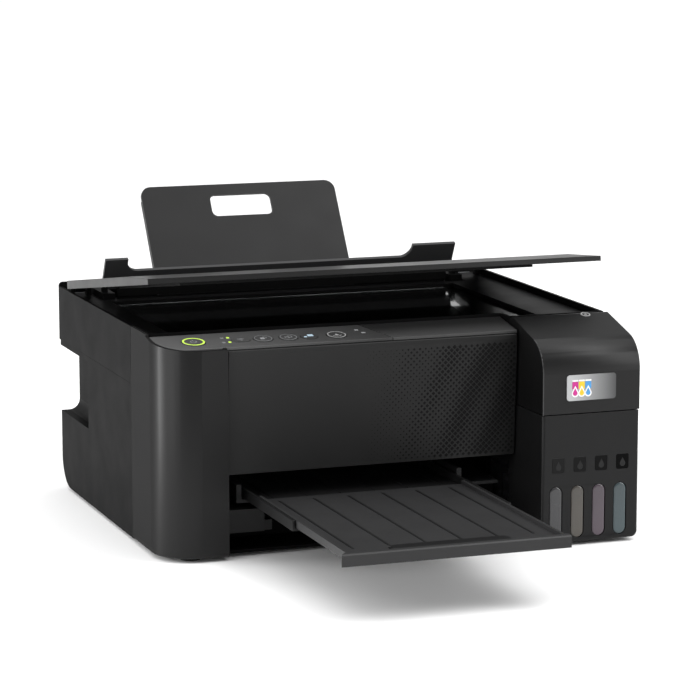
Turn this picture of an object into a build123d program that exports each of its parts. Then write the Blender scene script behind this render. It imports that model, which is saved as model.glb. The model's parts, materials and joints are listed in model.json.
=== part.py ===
from build123d import *
import math
import os

# An ink-tank inkjet printer with a flatbed scanner, in millimetres, +Z up, front towards -Y.
# It is modelled about the centre of the closed case's footprint. save() then moves every piece
# along Y, so that the origin is on the ground at the centre of the printer with its output tray
# and its paper support pulled out.

# ---------------------------------------------------------------- driving dimensions
HALF_WIDTH = 187.5
REAR_Y = 173.5
TANK_FRONT_Y = -173.5
COLUMN_FRONT_Y = -130.0
CASING_REAR_Y = -47.5
UNDERSIDE_Z = 3.0
SEAM_Z = 127.0
RIM_Z = 172.0
WALL = 2.5
SEAM_GAP = 0.8
LOWER_INSET = 1.0

COLUMN_RADIUS = 32.0
COLUMN_RIGHT_X = -134.5
TANK_LEFT_X = 105.7
TANK_REAR_Y = -107.0
TANK_GAP = 1.2
TANK_SEAM_Z = 104.8
PANEL_BACK = (-89.0, 170.0)
PANEL_FRONT = (-127.0, 164.0)

HOPPER_LEAN = math.radians(33.0)
HOPPER_TOP = (131.0, 172.0)
PAPER_LEFT_X = -130.0
PAPER_RIGHT_X = 80.0

SCANNER_FRONT_Y = -88.0
SCANNER_RIGHT_FRONT_Y = -104.0
SCANNER_REAR_Y = 118.5
ARM_LEFT_X, ARM_RIGHT_X = -164.0, 157.0
BED_Z = 167.0
SCANNER_PIVOT = (168.0, 164.0)
HINGE_PIN_R = 2.5
LID_PIVOT = (148.0, 173.0)
LID_REST_ANGLE = 8.92

COVER_PIVOT = (-111.5, 166.0)
COVER_BARREL_R = 6.5

SHELF_Z = 40.5
TRAY_FLOOR_Z = 44.0
TRAY_TOP_Z = 53.0
TRAY_LEFT_X = -117.0
TRAY_RIGHT_X = 57.0
TRAY_FRONT_Y = -345.0

TANK_CENTRES = {"black": 117.3, "yellow": 135.6, "magenta": 153.7, "cyan": 171.8}
TANK_HALF_WIDTH = 8.4
WINDOW_WIDTH = 11.0
WINDOW_BOTTOM_Z = 6.4
WINDOW_TOP_Z = 48.0
NECK_Y = -150.0
CAP_PIVOT = (-122.0, 106.5)

CARRIAGE_PARK_X = 118.0
CARRIAGE_HALF_WIDTH = 39.0
SHAFT_Y, SHAFT_Z, SHAFT_R = 36.0, 100.0, 4.0
FRAME_X = 168.4
FRAME_SHEET = 1.6
BELT_Y, BELT_Z, PULLEY_R = 50.5, 112.0, 6.0
PULLEY_X = 152.0

FEED_Y, FEED_Z, FEED_R = 42.0, 70.0, 6.0
EJECT_R = 5.0
GEAR_MODULE = 1.0
FEED_TEETH, IDLER_TEETH, EJECT_TEETH = 48, 20, 28
GEAR_PLAY = 0.2
GEAR_X0, GEAR_X1 = -177.0, -171.5
RUNNING_GAP = 0.05

os.makedirs("parts", exist_ok=True)


# ---------------------------------------------------------------- shared geometry helpers
def block(x0, x1, y0, y1, z0, z1):
    """A box between two corners."""
    centre = Pos((x0 + x1) / 2, (y0 + y1) / 2, (z0 + z1) / 2)
    return centre * Box(x1 - x0, y1 - y0, z1 - z0)


def prism_x(outline, x0, x1):
    """A closed (y, z) outline drawn out from x0 to x1."""
    wire = Polyline(*outline, close=True) if isinstance(outline, list) else outline
    return extrude(Plane.YZ.offset(x0) * make_face(wire), x1 - x0)


def prism_z(face, z0, z1):
    """A flat (x, y) face drawn out from z0 to z1."""
    return extrude(Pos(0, 0, z0) * face, z1 - z0)


def rod_x(y, z, radius, x0, x1):
    """A round bar along X."""
    turned = Pos(x0, y, z) * Rot(0, 90, 0)
    return turned * Cylinder(radius, x1 - x0, align=(Align.CENTER, Align.CENTER, Align.MIN))


def rod_y(x, z, radius, y0, y1):
    """A round bar along Y."""
    turned = Pos(x, y0, z) * Rot(-90, 0, 0)
    return turned * Cylinder(radius, y1 - y0, align=(Align.CENTER, Align.CENTER, Align.MIN))


def rod_z(x, y, radius, z0, z1):
    """A round bar along Z."""
    return Pos(x, y, z0) * Cylinder(radius, z1 - z0, align=(Align.CENTER, Align.CENTER, Align.MIN))


def stadium_y(x, z0, z1, width, y0, y1):
    """An upright slot shape with round ends, drawn out along Y."""
    radius = width / 2
    middle = block(x - radius, x + radius, y0, y1, z0 + radius, z1 - radius)
    ends = rod_y(x, z0 + radius, radius, y0, y1) + rod_y(x, z1 - radius, radius, y0, y1)
    return middle + ends


def spur_gear(teeth, width, bore):
    """A straight-toothed gear about Z, resting on z = 0, with one tooth pointing along +X."""
    pitch_r = GEAR_MODULE * teeth / 2
    tip_r = pitch_r + 0.9 * GEAR_MODULE
    root_r = pitch_r - 1.1 * GEAR_MODULE
    step = 2 * math.pi / teeth
    outline = []
    for tooth in range(teeth):
        middle = tooth * step
        for radius, share in ((root_r, -0.31), (tip_r, -0.10), (tip_r, 0.10), (root_r, 0.31)):
            angle = middle + share * step
            outline.append((radius * math.cos(angle), radius * math.sin(angle)))
    face = make_face(Polyline(*outline, close=True))
    return extrude(face, width) - Pos(0, 0, -1) * Cylinder(bore, 2 * width + 4)


def gear_on_x(teeth, y, z, x0, x1, bore, turn=0.0):
    """A spur gear whose axis runs along X through (y, z)."""
    upright = Pos(x0, y, z) * Rot(0, 90, 0) * Rot(0, 0, turn)
    return upright * spur_gear(teeth, x1 - x0, bore)


def panel_plane_z(y):
    """Height of the sloping control panel's top face at a given y."""
    slope = (PANEL_BACK[1] - PANEL_FRONT[1]) / (PANEL_BACK[0] - PANEL_FRONT[0])
    return PANEL_FRONT[1] + slope * (y - PANEL_FRONT[0])


def on_hopper(along, behind):
    """The (y, z) point a distance up the paper's sloping plane and a distance behind it."""
    y = HOPPER_TOP[0] + along * math.sin(HOPPER_LEAN) + behind * math.cos(HOPPER_LEAN)
    z = HOPPER_TOP[1] + along * math.cos(HOPPER_LEAN) - behind * math.sin(HOPPER_LEAN)
    return (y, z)


def slab_on_hopper(x0, x1, low, high, front, back):
    """A flat slab lying parallel to the paper's sloping plane."""
    corners = [on_hopper(low, front), on_hopper(high, front), on_hopper(high, back), on_hopper(low, back)]
    return prism_x(corners, x0, x1)


SUPPORT_TOP_ALONG = 96.0
SUPPORT_FRONT, SUPPORT_BACK = 3.0, 5.6
CENTRING_Y = -(TRAY_FRONT_Y + on_hopper(SUPPORT_TOP_ALONG, SUPPORT_BACK)[0]) / 2


def save(name, shape):
    """Write one sub-part, moved so that the printer in use is centred on the origin."""
    placed = Pos(0, CENTRING_Y, 0) * shape
    placed.label = name
    export_step(placed, os.path.join("parts", name + ".step"))


# ---------------------------------------------------------------- case
HANDLE_FRONT_Y = 86.0
HANDLE_BOTTOM_Z = 66.0
HANDLE_TOP_Z = 122.0
HANDLE_DEPTH_X = 170.7
LOWER_TOP_Z = SEAM_Z - SEAM_GAP
CORNER_REAR_R = 26.0
SCREW_SPOTS = [(-120.0, 30.0), (120.0, 30.0), (-60.0, 110.0), (150.0, 110.0)]
SCREW_SINK = 1.4
FLOOR_FRONT_Y = -119.0
STOP_WALL_Y = -75.0
# Each rear port: x and z spans of its body, and the gap that the case leaves around it.
INLET_FACE = (-150.0, -124.0, 70.0, 90.0)
SOCKET_FACE = (129.0, 143.0, 59.0, 72.0)
PORT_GAP = 0.8


def case_outline(inset, front_y, top_z):
    """Side view of the lower case with its rounded lower rear corner."""
    rear = REAR_Y - inset
    low = UNDERSIDE_Z + inset
    radius = CORNER_REAR_R - inset
    corner = math.radians(45)
    middle = (rear - radius + radius * math.sin(corner), low + radius - radius * math.cos(corner))
    return (Line((front_y, low), (rear - radius, low))
            + ThreePointArc((rear - radius, low), middle, (rear, low + radius))
            + Polyline((rear, low + radius), (rear, top_z), (front_y, top_z), (front_y, low)))


def handle_recess(grow):
    """The hand recess in the left side, behind its rounded inner lower edge."""
    inner_x = -HANDLE_DEPTH_X + grow
    space = block(-HALF_WIDTH - 5, inner_x, HANDLE_FRONT_Y - grow, REAR_Y + 5,
                  HANDLE_BOTTOM_Z - grow, HANDLE_TOP_Z + grow)
    low_edge = space.edges().filter_by(Axis.Y).sort_by(Axis.Z)[:2].sort_by(Axis.X)[-1]
    return fillet(low_edge, 9.0 + grow)


def lower_case():
    side_x = HALF_WIDTH - LOWER_INSET
    left_shell = prism_x(case_outline(0, CASING_REAR_Y + SEAM_GAP, LOWER_TOP_Z), -side_x, 0)
    right_shell = prism_x(case_outline(0, TANK_REAR_Y + 1.0, LOWER_TOP_Z), 0, side_x)
    inside = prism_x(case_outline(WALL, TANK_FRONT_Y, LOWER_TOP_Z + 5), -side_x + WALL, side_x - WALL)
    shell = left_shell + right_shell - handle_recess(0) - (inside - handle_recess(WALL))
    floor_x0, floor_x1 = COLUMN_RIGHT_X + 0.5, TANK_LEFT_X - TANK_GAP
    floor_top = UNDERSIDE_Z + WALL
    shell += block(floor_x0, floor_x1, FLOOR_FRONT_Y, CASING_REAR_Y + 2, UNDERSIDE_Z, floor_top)
    shell += block(floor_x0, floor_x1, STOP_WALL_Y - 2, STOP_WALL_Y, UNDERSIDE_Z + 1, SHELF_Z - 1)
    for x0, x1, z0, z1 in (INLET_FACE, SOCKET_FACE):
        shell -= block(x0 - PORT_GAP, x1 + PORT_GAP, REAR_Y - 10, REAR_Y + 1, z0 - PORT_GAP, z1 + PORT_GAP)
    for x, z in SCREW_SPOTS:
        shell -= rod_y(x, z, 3.2, REAR_Y - SCREW_SINK, REAR_Y + 1)
    return shell


def case_screws():
    screws = []
    for x, z in SCREW_SPOTS:
        head = rod_y(x, z, 3.0, REAR_Y - SCREW_SINK, REAR_Y - 0.2)
        slots = block(x - 2, x + 2, REAR_Y - 0.8, REAR_Y, z - 0.4, z + 0.4)
        slots += block(x - 0.4, x + 0.4, REAR_Y - 0.8, REAR_Y, z - 2, z + 2)
        screws.append(head - slots)
    return Compound(children=screws)


FOOT_SPOTS = [(-160.5, -112.0), (150.0, -150.0), (-160.0, 130.0), (160.0, 130.0)]


def feet():
    return Compound(children=[rod_z(x, y, 8.0, 0.0, UNDERSIDE_Z) for x, y in FOOT_SPOTS])


SLOT_LEFT_X, SLOT_RIGHT_X = -153.0, 146.0
HOUSING_FRONT_Y = SCANNER_REAR_Y + 1.0
ARM_GAP = 0.6
GUARD_POST_SPANS = ((-161.4, -157.6), (149.3, 152.9))
GUARD_PIVOT = (129.6, 177.0)


def rear_housing():
    """The upper rear casing around the paper feed slot, with the feeder guard's two posts."""
    left, right = ARM_LEFT_X + ARM_GAP, ARM_RIGHT_X - ARM_GAP
    outer = block(left, right, HOUSING_FRONT_Y, REAR_Y, SEAM_Z, RIM_Z)
    inner = block(left + WALL, right - WALL, HOUSING_FRONT_Y + WALL, REAR_Y - WALL,
                  SEAM_Z - 1, RIM_Z - WALL)
    front_gap = block(SLOT_LEFT_X, SLOT_RIGHT_X, HOUSING_FRONT_Y - 1, HOUSING_FRONT_Y + WALL + 1,
                      SEAM_Z - 1, RIM_Z + 1)
    slot = block(SLOT_LEFT_X, SLOT_RIGHT_X, HOUSING_FRONT_Y - 1, 151.0, RIM_Z - WALL - 1, RIM_Z + 1)
    body = outer - inner - front_gap - slot
    body = fillet(body.edges().filter_by(Axis.X).group_by(Axis.Y)[-1].sort_by(Axis.Z)[-1], 2.0)
    body -= rod_x(*SCANNER_PIVOT, HINGE_PIN_R, left - 1, right + 1)
    for x0, x1 in GUARD_POST_SPANS:
        post = block(x0, x1, 126.2, 133.0, RIM_Z - WALL, GUARD_PIVOT[1])
        post += rod_x(*GUARD_PIVOT, 3.3, x0, x1)
        body += post - rod_x(*GUARD_PIVOT, 1.5 + RUNNING_GAP, x0 - 1, x1 + 1)
    return body


BEAM_FRONT_Y = -115.0
BEAM_LOW_Z, BEAM_TOP_Z = 66.0, 158.0


def column_region(inset, rear_y, right_x):
    """Plan view of the front left column with its large rounded corner."""
    left = -HALF_WIDTH + inset
    front = COLUMN_FRONT_Y + inset
    radius = COLUMN_RADIUS - inset
    corner = math.radians(45)
    middle = (left + radius - radius * math.cos(corner), front + radius - radius * math.sin(corner))
    return make_face(Polyline((left + radius, front), (right_x, front), (right_x, rear_y), (left, rear_y),
                              (left, front + radius))
                     + ThreePointArc((left, front + radius), middle, (left + radius, front)))


def below_panel(drop):
    """Everything under the sloping control panel's top face, lowered by a distance."""
    front_z = panel_plane_z(COLUMN_FRONT_Y - 5) - drop
    back_z = PANEL_BACK[1] - drop
    return prism_x([(COLUMN_FRONT_Y - 5, 0), (COLUMN_FRONT_Y - 5, front_z), (PANEL_BACK[0], back_z),
                    (PANEL_BACK[0], RIM_Z), (CASING_REAR_Y, RIM_Z), (CASING_REAR_Y, 0)], -200, 200)


def is_column_foot(edge):
    """Whether a bottom edge of the column is on its outer side."""
    return edge.center().X < COLUMN_RIGHT_X - 0.1 and edge.center().Y < CASING_REAR_Y - 1


def front_casing():
    """Front left corner column, the wall beside the paper outlet, and the beam behind the front panel."""
    outer = prism_z(column_region(0, CASING_REAR_Y, COLUMN_RIGHT_X), UNDERSIDE_Z, 180)
    outer = fillet(outer.edges().group_by(Axis.Z)[0].filter_by(is_column_foot), 3.0)
    inner = prism_z(column_region(WALL, CASING_REAR_Y + 5, COLUMN_RIGHT_X - WALL), UNDERSIDE_Z + WALL, 185)
    column = (outer - inner) & below_panel(0)
    column -= block(-HALF_WIDTH + WALL, 0, SCANNER_FRONT_Y - 1, 0, SEAM_Z - 2, 200)
    column -= panel_slab(panel_plan(PANEL_CLEARANCE), -5, PANEL_THICKNESS + 5 + PANEL_CLEARANCE)
    beam_x0, beam_x1 = COLUMN_RIGHT_X - 1, TANK_LEFT_X - TANK_GAP
    beam = block(beam_x0, beam_x1, BEAM_FRONT_Y, BEAM_FRONT_Y + WALL, BEAM_LOW_Z, BEAM_TOP_Z)
    beam += block(beam_x0, beam_x1, BEAM_FRONT_Y, SCANNER_FRONT_Y - 1.5, BEAM_TOP_Z - 3, BEAM_TOP_Z)
    beam += block(beam_x0, beam_x1, BEAM_FRONT_Y, -95.0, BEAM_LOW_Z, BEAM_LOW_Z + WALL)
    outlet_block = block(COLUMN_RIGHT_X - 1, -103.0, -119.5, -90.0, 19.0, 37.0)
    outlet_block = fillet(outlet_block.edges().filter_by(Axis.Y).group_by(Axis.Z)[-1], 3.0)
    outlet_block += block(-104.0, -96.0, -117.0, -92.0, 19.0, 27.0)
    seam_radius = SCANNER_PIVOT[0] - CASING_REAR_Y
    side_seam = block(-HALF_WIDTH, -HALF_WIDTH + WALL, CASING_REAR_Y - 1, CASING_REAR_Y + 8,
                      SEAM_Z, SCANNER_PIVOT[1])
    side_seam -= rod_x(*SCANNER_PIVOT, seam_radius, -HALF_WIDTH - 1, 0)
    return column + beam + outlet_block + side_seam


DOOR_GAP = 1.7


def front_panel():
    """The patterned front door panel, leaning in slightly towards its lower edge."""
    x0, x1 = COLUMN_RIGHT_X + DOOR_GAP, TANK_LEFT_X - DOOR_GAP
    outline = [(-118.6, 65.0), (-121.0, 65.0), (-126.0, 158.0), (-125.2, 161.4), (-123.0, 162.4),
               (-120.4, 162.0), (-119.0, 159.0), (-117.0, 150.0)]
    plate = prism_x(outline, x0, x1)
    lugs = [block(x, x + 12, -118.5, -115.4, 92.0, 100.0) for x in (-120.0, -20.0, 82.0)]
    for lug in lugs:
        plate += lug
    return plate


PANEL_THICKNESS = 2.2
PANEL_CLEARANCE = 0.3
PANEL_LEFT_X = -184.6
PANEL_END_FRONT_X, PANEL_END_BACK_X = 0.5, -15.5
PANEL_FRONT_EDGE_Y = -124.2


def panel_slab(face, top_drop=0.0, thickness=PANEL_THICKNESS):
    """A plan view face turned into a slab that follows the control panel's slope."""
    column = prism_z(face, 140, 185)
    front_y, back_y = COLUMN_FRONT_Y - 5, SCANNER_FRONT_Y + 5
    top_front, top_back = panel_plane_z(front_y) - top_drop, panel_plane_z(back_y) - top_drop
    layer = prism_x([(front_y, top_front), (back_y, top_back), (back_y, top_back - thickness),
                     (front_y, top_front - thickness)], -200, 200)
    return column & layer


# Each control: x and y of its centre, half length along X, half width along Y.
BUTTONS = {
    "power_button": (-155.0, -107.5, 9.0, 9.0),
    "wifi_button": (-117.6, -109.0, 7.0, 4.4),
    "status_button": (-99.9, -109.0, 7.5, 7.5),
    "copy_mono_button": (-79.6, -109.5, 7.2, 7.2),
    "copy_colour_button": (-63.0, -110.0, 6.6, 6.6),
    "stop_button": (-40.8, -110.5, 7.7, 7.7),
}
BUTTON_GAP = 0.35


def button_face(name, grow):
    x, y, half_x, half_y = BUTTONS[name]
    if half_x == half_y:
        return Pos(x, y) * Circle(half_x + grow)
    return Pos(x, y) * SlotOverall(2 * (half_x + grow), 2 * (half_y + grow))


def panel_plan(grow):
    """Plan view of the control panel: rounded left corner, slanted right end."""
    front, back = PANEL_FRONT_EDGE_Y - grow, PANEL_BACK[0] - 0.3 + grow
    left = PANEL_LEFT_X - grow
    radius = COLUMN_RADIUS - WALL - 0.4 + grow
    corner_y = COLUMN_FRONT_Y + COLUMN_RADIUS
    centre_x = left + radius
    sweep = math.asin((corner_y - front) / radius)
    middle = (centre_x - radius * math.cos(sweep / 2), corner_y - radius * math.sin(sweep / 2))
    meet = (centre_x - radius * math.cos(sweep), front)
    end_front, end_back = PANEL_END_FRONT_X + grow, PANEL_END_BACK_X + grow
    return make_face(Polyline(meet, (end_front, front), (end_back, back), (left, back), (left, corner_y))
                     + ThreePointArc((left, corner_y), middle, meet))


def control_panel():
    slab = panel_slab(panel_plan(0))
    for name in BUTTONS:
        slab -= panel_slab(button_face(name, BUTTON_GAP), -5, 20)
    return slab


def panel_strip():
    """The plain dark strip that carries the control panel on to the tank unit."""
    front, back = PANEL_FRONT_EDGE_Y, PANEL_BACK[0] - 0.3
    right = TANK_LEFT_X - TANK_GAP
    face = make_face(Polyline((PANEL_END_FRONT_X + 0.6, front), (right, front),
                              (right, back), (PANEL_END_BACK_X + 0.6, back), close=True))
    return panel_slab(face)


def button(name):
    """A button cap standing a little proud of the panel, on a short stem."""
    cap = panel_slab(button_face(name, 0), -0.5, 2.4)
    x, y, half_x, half_y = BUTTONS[name]
    stem = panel_slab(Pos(x, y) * Circle(min(half_x, half_y) - 2.2), 1.7, 3.2)
    return cap + stem


# ---------------------------------------------------------------- ink tanks
COVER_FRONT_TOP = (-152.0, 160.7)


def cover_outline(inset):
    """Side view of the tank cover: upright front, rounded brow, sloping top and rear barrel."""
    front_y = TANK_FRONT_Y + inset
    brow_r = 26.0 - inset
    barrel_r = COVER_BARREL_R - inset
    slope = math.atan2(COVER_BARREL_R + COVER_PIVOT[1] - COVER_FRONT_TOP[1] - 1.2,
                       COVER_PIVOT[0] - COVER_FRONT_TOP[0])
    barrel_top = (COVER_PIVOT[0] - barrel_r * math.sin(slope), COVER_PIVOT[1] + barrel_r * math.cos(slope))
    turn = math.pi / 2 - slope
    # The brow arc is tangent to the upright front and to the sloping top.
    centre_y = front_y + brow_r
    line_z = barrel_top[1] + (centre_y - brow_r * math.sin(slope) - barrel_top[0]) * math.tan(slope)
    centre_z = line_z - brow_r * math.cos(slope)
    brow_top = (centre_y - brow_r * math.sin(slope), line_z)
    half = math.pi - turn / 2
    brow_middle = (centre_y + brow_r * math.cos(half), centre_z + brow_r * math.sin(half))
    barrel_rear = (COVER_PIVOT[0] + barrel_r, COVER_PIVOT[1])
    barrel_half = (math.pi / 2 + slope) / 2
    barrel_middle = (COVER_PIVOT[0] + barrel_r * math.cos(barrel_half),
                     COVER_PIVOT[1] + barrel_r * math.sin(barrel_half))
    low_z = TANK_SEAM_Z + SEAM_GAP / 2 if inset == 0 else TANK_SEAM_Z - 5
    return (Line((front_y, low_z), (front_y, centre_z))
            + ThreePointArc((front_y, centre_z), brow_middle, brow_top)
            + Line(brow_top, barrel_top)
            + ThreePointArc(barrel_top, barrel_middle, barrel_rear)
            + Polyline(barrel_rear, (TANK_REAR_Y - 1.0 + inset, 160.0), (TANK_REAR_Y - 1.0 + inset, low_z),
                       (front_y, low_z)))


def tank_cover():
    """The hinged cover over the ink fillers: a hood, open below and behind."""
    body = prism_x(cover_outline(0), TANK_LEFT_X, HALF_WIDTH)
    hollow = prism_x(cover_outline(WALL), TANK_LEFT_X + WALL, HALF_WIDTH - WALL)
    back_gap = block(TANK_LEFT_X + WALL, HALF_WIDTH - WALL, -115.0, -100.0, 80.0, COVER_PIVOT[1] + 1.5)
    body = body - hollow - back_gap
    body -= rod_x(*COVER_PIVOT, 2.0 + RUNNING_GAP, TANK_LEFT_X + 0.6, HALF_WIDTH - 0.6)
    return body


def tank_badge():
    """The bright plate on the cover's front face."""
    x0, x1, z0, z1 = 125.3, 166.8, 115.2, 135.4
    plate = block(x0, x1, TANK_FRONT_Y - 0.8, TANK_FRONT_Y, z0, z1)
    return fillet(plate.edges().filter_by(Axis.Y), 2.4)


def tank_housing():
    """Lower tank shell with four upright windows in its front."""
    top_z = TANK_SEAM_Z - SEAM_GAP / 2
    outer = block(TANK_LEFT_X, HALF_WIDTH, TANK_FRONT_Y, TANK_REAR_Y, UNDERSIDE_Z, top_z)
    outer = fillet(outer.edges().filter_by(Axis.Y).group_by(Axis.Z)[0], 5.0)
    outer = fillet(outer.edges().filter_by(Axis.Z).group_by(Axis.Y)[0], 2.0)
    inner = block(TANK_LEFT_X + 1.6, HALF_WIDTH - WALL, TANK_FRONT_Y + WALL, TANK_REAR_Y + 5,
                  UNDERSIDE_Z + WALL, 200)
    shell = outer - inner
    for x in TANK_CENTRES.values():
        shell -= stadium_y(x, WINDOW_BOTTOM_Z, WINDOW_TOP_Z, WINDOW_WIDTH,
                           TANK_FRONT_Y - 1, TANK_FRONT_Y + 5)
    return shell


TANK_REAR = -62.0
TANK_TOP_Z = 96.0
NECK_R = 6.0


def ink_tank(x):
    """One closed ink tank with a window boss at the front and a filler neck on top."""
    x0, x1 = x - TANK_HALF_WIDTH, x + TANK_HALF_WIDTH
    y0, y1 = TANK_FRONT_Y + WALL + 0.4, TANK_REAR
    z0, z1 = UNDERSIDE_Z + WALL + 0.3, TANK_TOP_Z
    body = block(x0, x1, y0, y1, z0, z1)
    boss = stadium_y(x, WINDOW_BOTTOM_Z + 0.3, WINDOW_TOP_Z - 0.3, WINDOW_WIDTH - 0.6,
                     TANK_FRONT_Y + 0.8, y0 + 1)
    neck = rod_z(x, NECK_Y, NECK_R, z1 - 1, z1 + 7.0)
    wall = 1.4
    hollow = block(x0 + wall, x1 - wall, y0 + wall, y1 - wall, z0 + wall, z1 - wall)
    bore = rod_z(x, NECK_Y, NECK_R - 1.6, z1 - 5, z1 + 8.0)
    return body + boss + neck - hollow - bore


def tank_deck():
    """Deck around the filler necks, with the cap hinge lugs and the two posts that carry the cover."""
    x0, x1 = TANK_LEFT_X + 2.0, HALF_WIDTH - WALL - 0.4
    deck = block(x0, x1, TANK_FRONT_Y + WALL + 0.5, -108.5, 98.0, 100.0)
    for x in TANK_CENTRES.values():
        deck -= rod_z(x, NECK_Y, NECK_R + 0.3, 90, 110)
        for lug_x in (x - 4.4, x + 2.6):
            lug = block(lug_x, lug_x + 1.8, CAP_PIVOT[0] - 2.4, CAP_PIVOT[0] + 2.4, 99.0, CAP_PIVOT[1])
            lug += rod_x(*CAP_PIVOT, 2.4, lug_x, lug_x + 1.8)
            deck += lug
        deck += rod_x(*CAP_PIVOT, 1.0, x - 4.4, x + 4.4)
    for post_x in (TANK_LEFT_X + WALL + 0.5, HALF_WIDTH - WALL - 3.5):
        post = block(post_x, post_x + 3.0, COVER_PIVOT[0] - 3.2, COVER_PIVOT[0] + 2.2, 99.0, COVER_PIVOT[1])
        post += rod_x(*COVER_PIVOT, 3.2, post_x, post_x + 3.0)
        deck += post
    deck += rod_x(*COVER_PIVOT, 2.0, TANK_LEFT_X + 0.9, TANK_LEFT_X + WALL + 2)
    deck += rod_x(*COVER_PIVOT, 2.0, HALF_WIDTH - WALL - 2, HALF_WIDTH - 0.9)
    return deck


def ink_cap(x):
    """A hinged stopper that closes one filler neck."""
    cap = rod_z(x, NECK_Y, 7.4, TANK_TOP_Z + 7.3, TANK_TOP_Z + 12.0)
    cap = fillet(cap.edges().group_by(Axis.Z)[-1], 1.2)
    plug = rod_z(x, NECK_Y, NECK_R - 2.0, TANK_TOP_Z + 2.5, TANK_TOP_Z + 8.0)
    arm = block(x - 2.2, x + 2.2, NECK_Y, CAP_PIVOT[0], CAP_PIVOT[1] - 1.2, CAP_PIVOT[1] + 1.4)
    eye = rod_x(*CAP_PIVOT, 2.3, x - 2.2, x + 2.2)
    return cap + plug + arm + eye - rod_x(*CAP_PIVOT, 1.0 + RUNNING_GAP, x - 5, x + 5)


# ---------------------------------------------------------------- scanner and lid
GLASS = (-160.0, 143.0, -80.0, 106.0)
HINGE_SPANS = ((-183.0, ARM_LEFT_X + ARM_GAP), (ARM_RIGHT_X - ARM_GAP, 183.0))
LID_KNUCKLES = ((-180.0, -171.0), (164.0, 179.0))
SIDE_FRONT_Y = CASING_REAR_Y + 0.6


def scanner_plan(inset):
    """Plan view of the scanner: notched beside the front left column, with an arm behind each side."""
    left = -HALF_WIDTH + inset
    right = HALF_WIDTH - inset
    left_front = -HALF_WIDTH + WALL + 0.5 + inset
    rear, waist = REAR_Y - inset, SCANNER_REAR_Y - inset
    points = [(left_front, SCANNER_FRONT_Y + inset), (TANK_LEFT_X + inset, SCANNER_FRONT_Y + inset),
              (TANK_LEFT_X + inset, SCANNER_RIGHT_FRONT_Y + inset), (right, SCANNER_RIGHT_FRONT_Y + inset),
              (right, rear), (ARM_RIGHT_X + inset, rear), (ARM_RIGHT_X + inset, waist),
              (ARM_LEFT_X - inset, waist), (ARM_LEFT_X - inset, rear), (left, rear),
              (left, SIDE_FRONT_Y + inset), (left_front, SIDE_FRONT_Y + inset)]
    return make_face(Polyline(*points, close=True))


def swing_relief(inset):
    """What the front walls lose below the hinge height, so that they swing up past the casing."""
    relief = None
    for x0, x1, front_y in ((-HALF_WIDTH + WALL + 0.5, TANK_LEFT_X + inset, SCANNER_FRONT_Y),
                            (TANK_LEFT_X, HALF_WIDTH, SCANNER_RIGHT_FRONT_Y),
                            (-HALF_WIDTH, -HALF_WIDTH + WALL + 0.5 + inset, SIDE_FRONT_Y)):
        radius = SCANNER_PIVOT[0] - front_y - inset
        wedge = block(x0, x1, front_y - 1, front_y + inset + 6, SEAM_Z - 1, SCANNER_PIVOT[1])
        wedge -= rod_x(*SCANNER_PIVOT, radius, x0 - 1, x1 + 1)
        relief = wedge if relief is None else relief + wedge
    return relief


def rear_chamfer(shift):
    """The wedge cut from the scanner's lower rear edge to clear the paper path."""
    top_y, top_z = SCANNER_REAR_Y - 6.5 - shift, 158.5 - shift
    outline = [(SCANNER_REAR_Y + 1, SEAM_Z - 5), (SCANNER_REAR_Y + 1, top_z),
               (top_y, top_z), (87.0 - shift, SEAM_Z - 5)]
    return prism_x(outline, ARM_LEFT_X, ARM_RIGHT_X)


def scanner_case():
    """Scanner tray: floor and outer skirt, whose rim stands above the bed."""
    outer = prism_z(scanner_plan(0), SEAM_Z, RIM_Z) - swing_relief(0)
    inner = prism_z(scanner_plan(WALL), SEAM_Z + WALL, RIM_Z + 5) - swing_relief(WALL) - rear_chamfer(3.0)
    shell = outer - inner - rear_chamfer(0)
    shell -= block(ARM_LEFT_X - WALL - 1, ARM_RIGHT_X + WALL + 1, 112.0, REAR_Y - WALL, BED_Z, RIM_Z + 1)
    for seat_x in (ARM_LEFT_X - WALL - 3.0, ARM_RIGHT_X + WALL):
        shell += block(seat_x, seat_x + 3.0, SCANNER_PIVOT[0] - 5, REAR_Y - WALL, SEAM_Z + WALL, BED_Z - 3)
    for x0, x1 in HINGE_SPANS:
        shell -= rod_x(*SCANNER_PIVOT, HINGE_PIN_R + RUNNING_GAP, x0 - 1, x1 + 1)
    lip = block(-HALF_WIDTH, ARM_LEFT_X, REAR_Y - WALL, REAR_Y, RIM_Z - 1, RIM_Z + 3.6)
    lip = fillet(lip.edges().filter_by(Axis.Y).group_by(Axis.Z)[-1].sort_by(Axis.X)[0], 3.4)
    return shell + lip


def scanner_frame():
    """Sunk bezel around the glass, with the lugs and pins for the lid's two knuckles."""
    bezel = prism_z(scanner_plan(WALL + 0.1), BED_Z - 3.0, BED_Z)
    x0, x1, y0, y1 = GLASS
    bezel -= block(x0, x1, y0, y1, 160, 180)
    for k0, k1 in LID_KNUCKLES:
        for x in (k0 - 4.2, k1 + 0.6):
            bezel += block(x, x + 3.6, LID_PIVOT[0] - 3.0, LID_PIVOT[0] + 3.0, BED_Z - 1, LID_PIVOT[1])
            bezel += rod_x(*LID_PIVOT, 3.0, x, x + 3.6)
        bezel += rod_x(*LID_PIVOT, 1.5, k0 - 2, k1 + 2)
    for x0, x1 in HINGE_SPANS:
        bezel -= block(x0 - 1, x1 + 1, SCANNER_PIVOT[0] - 5.0, REAR_Y, 160, 180)
    return bezel


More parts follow.
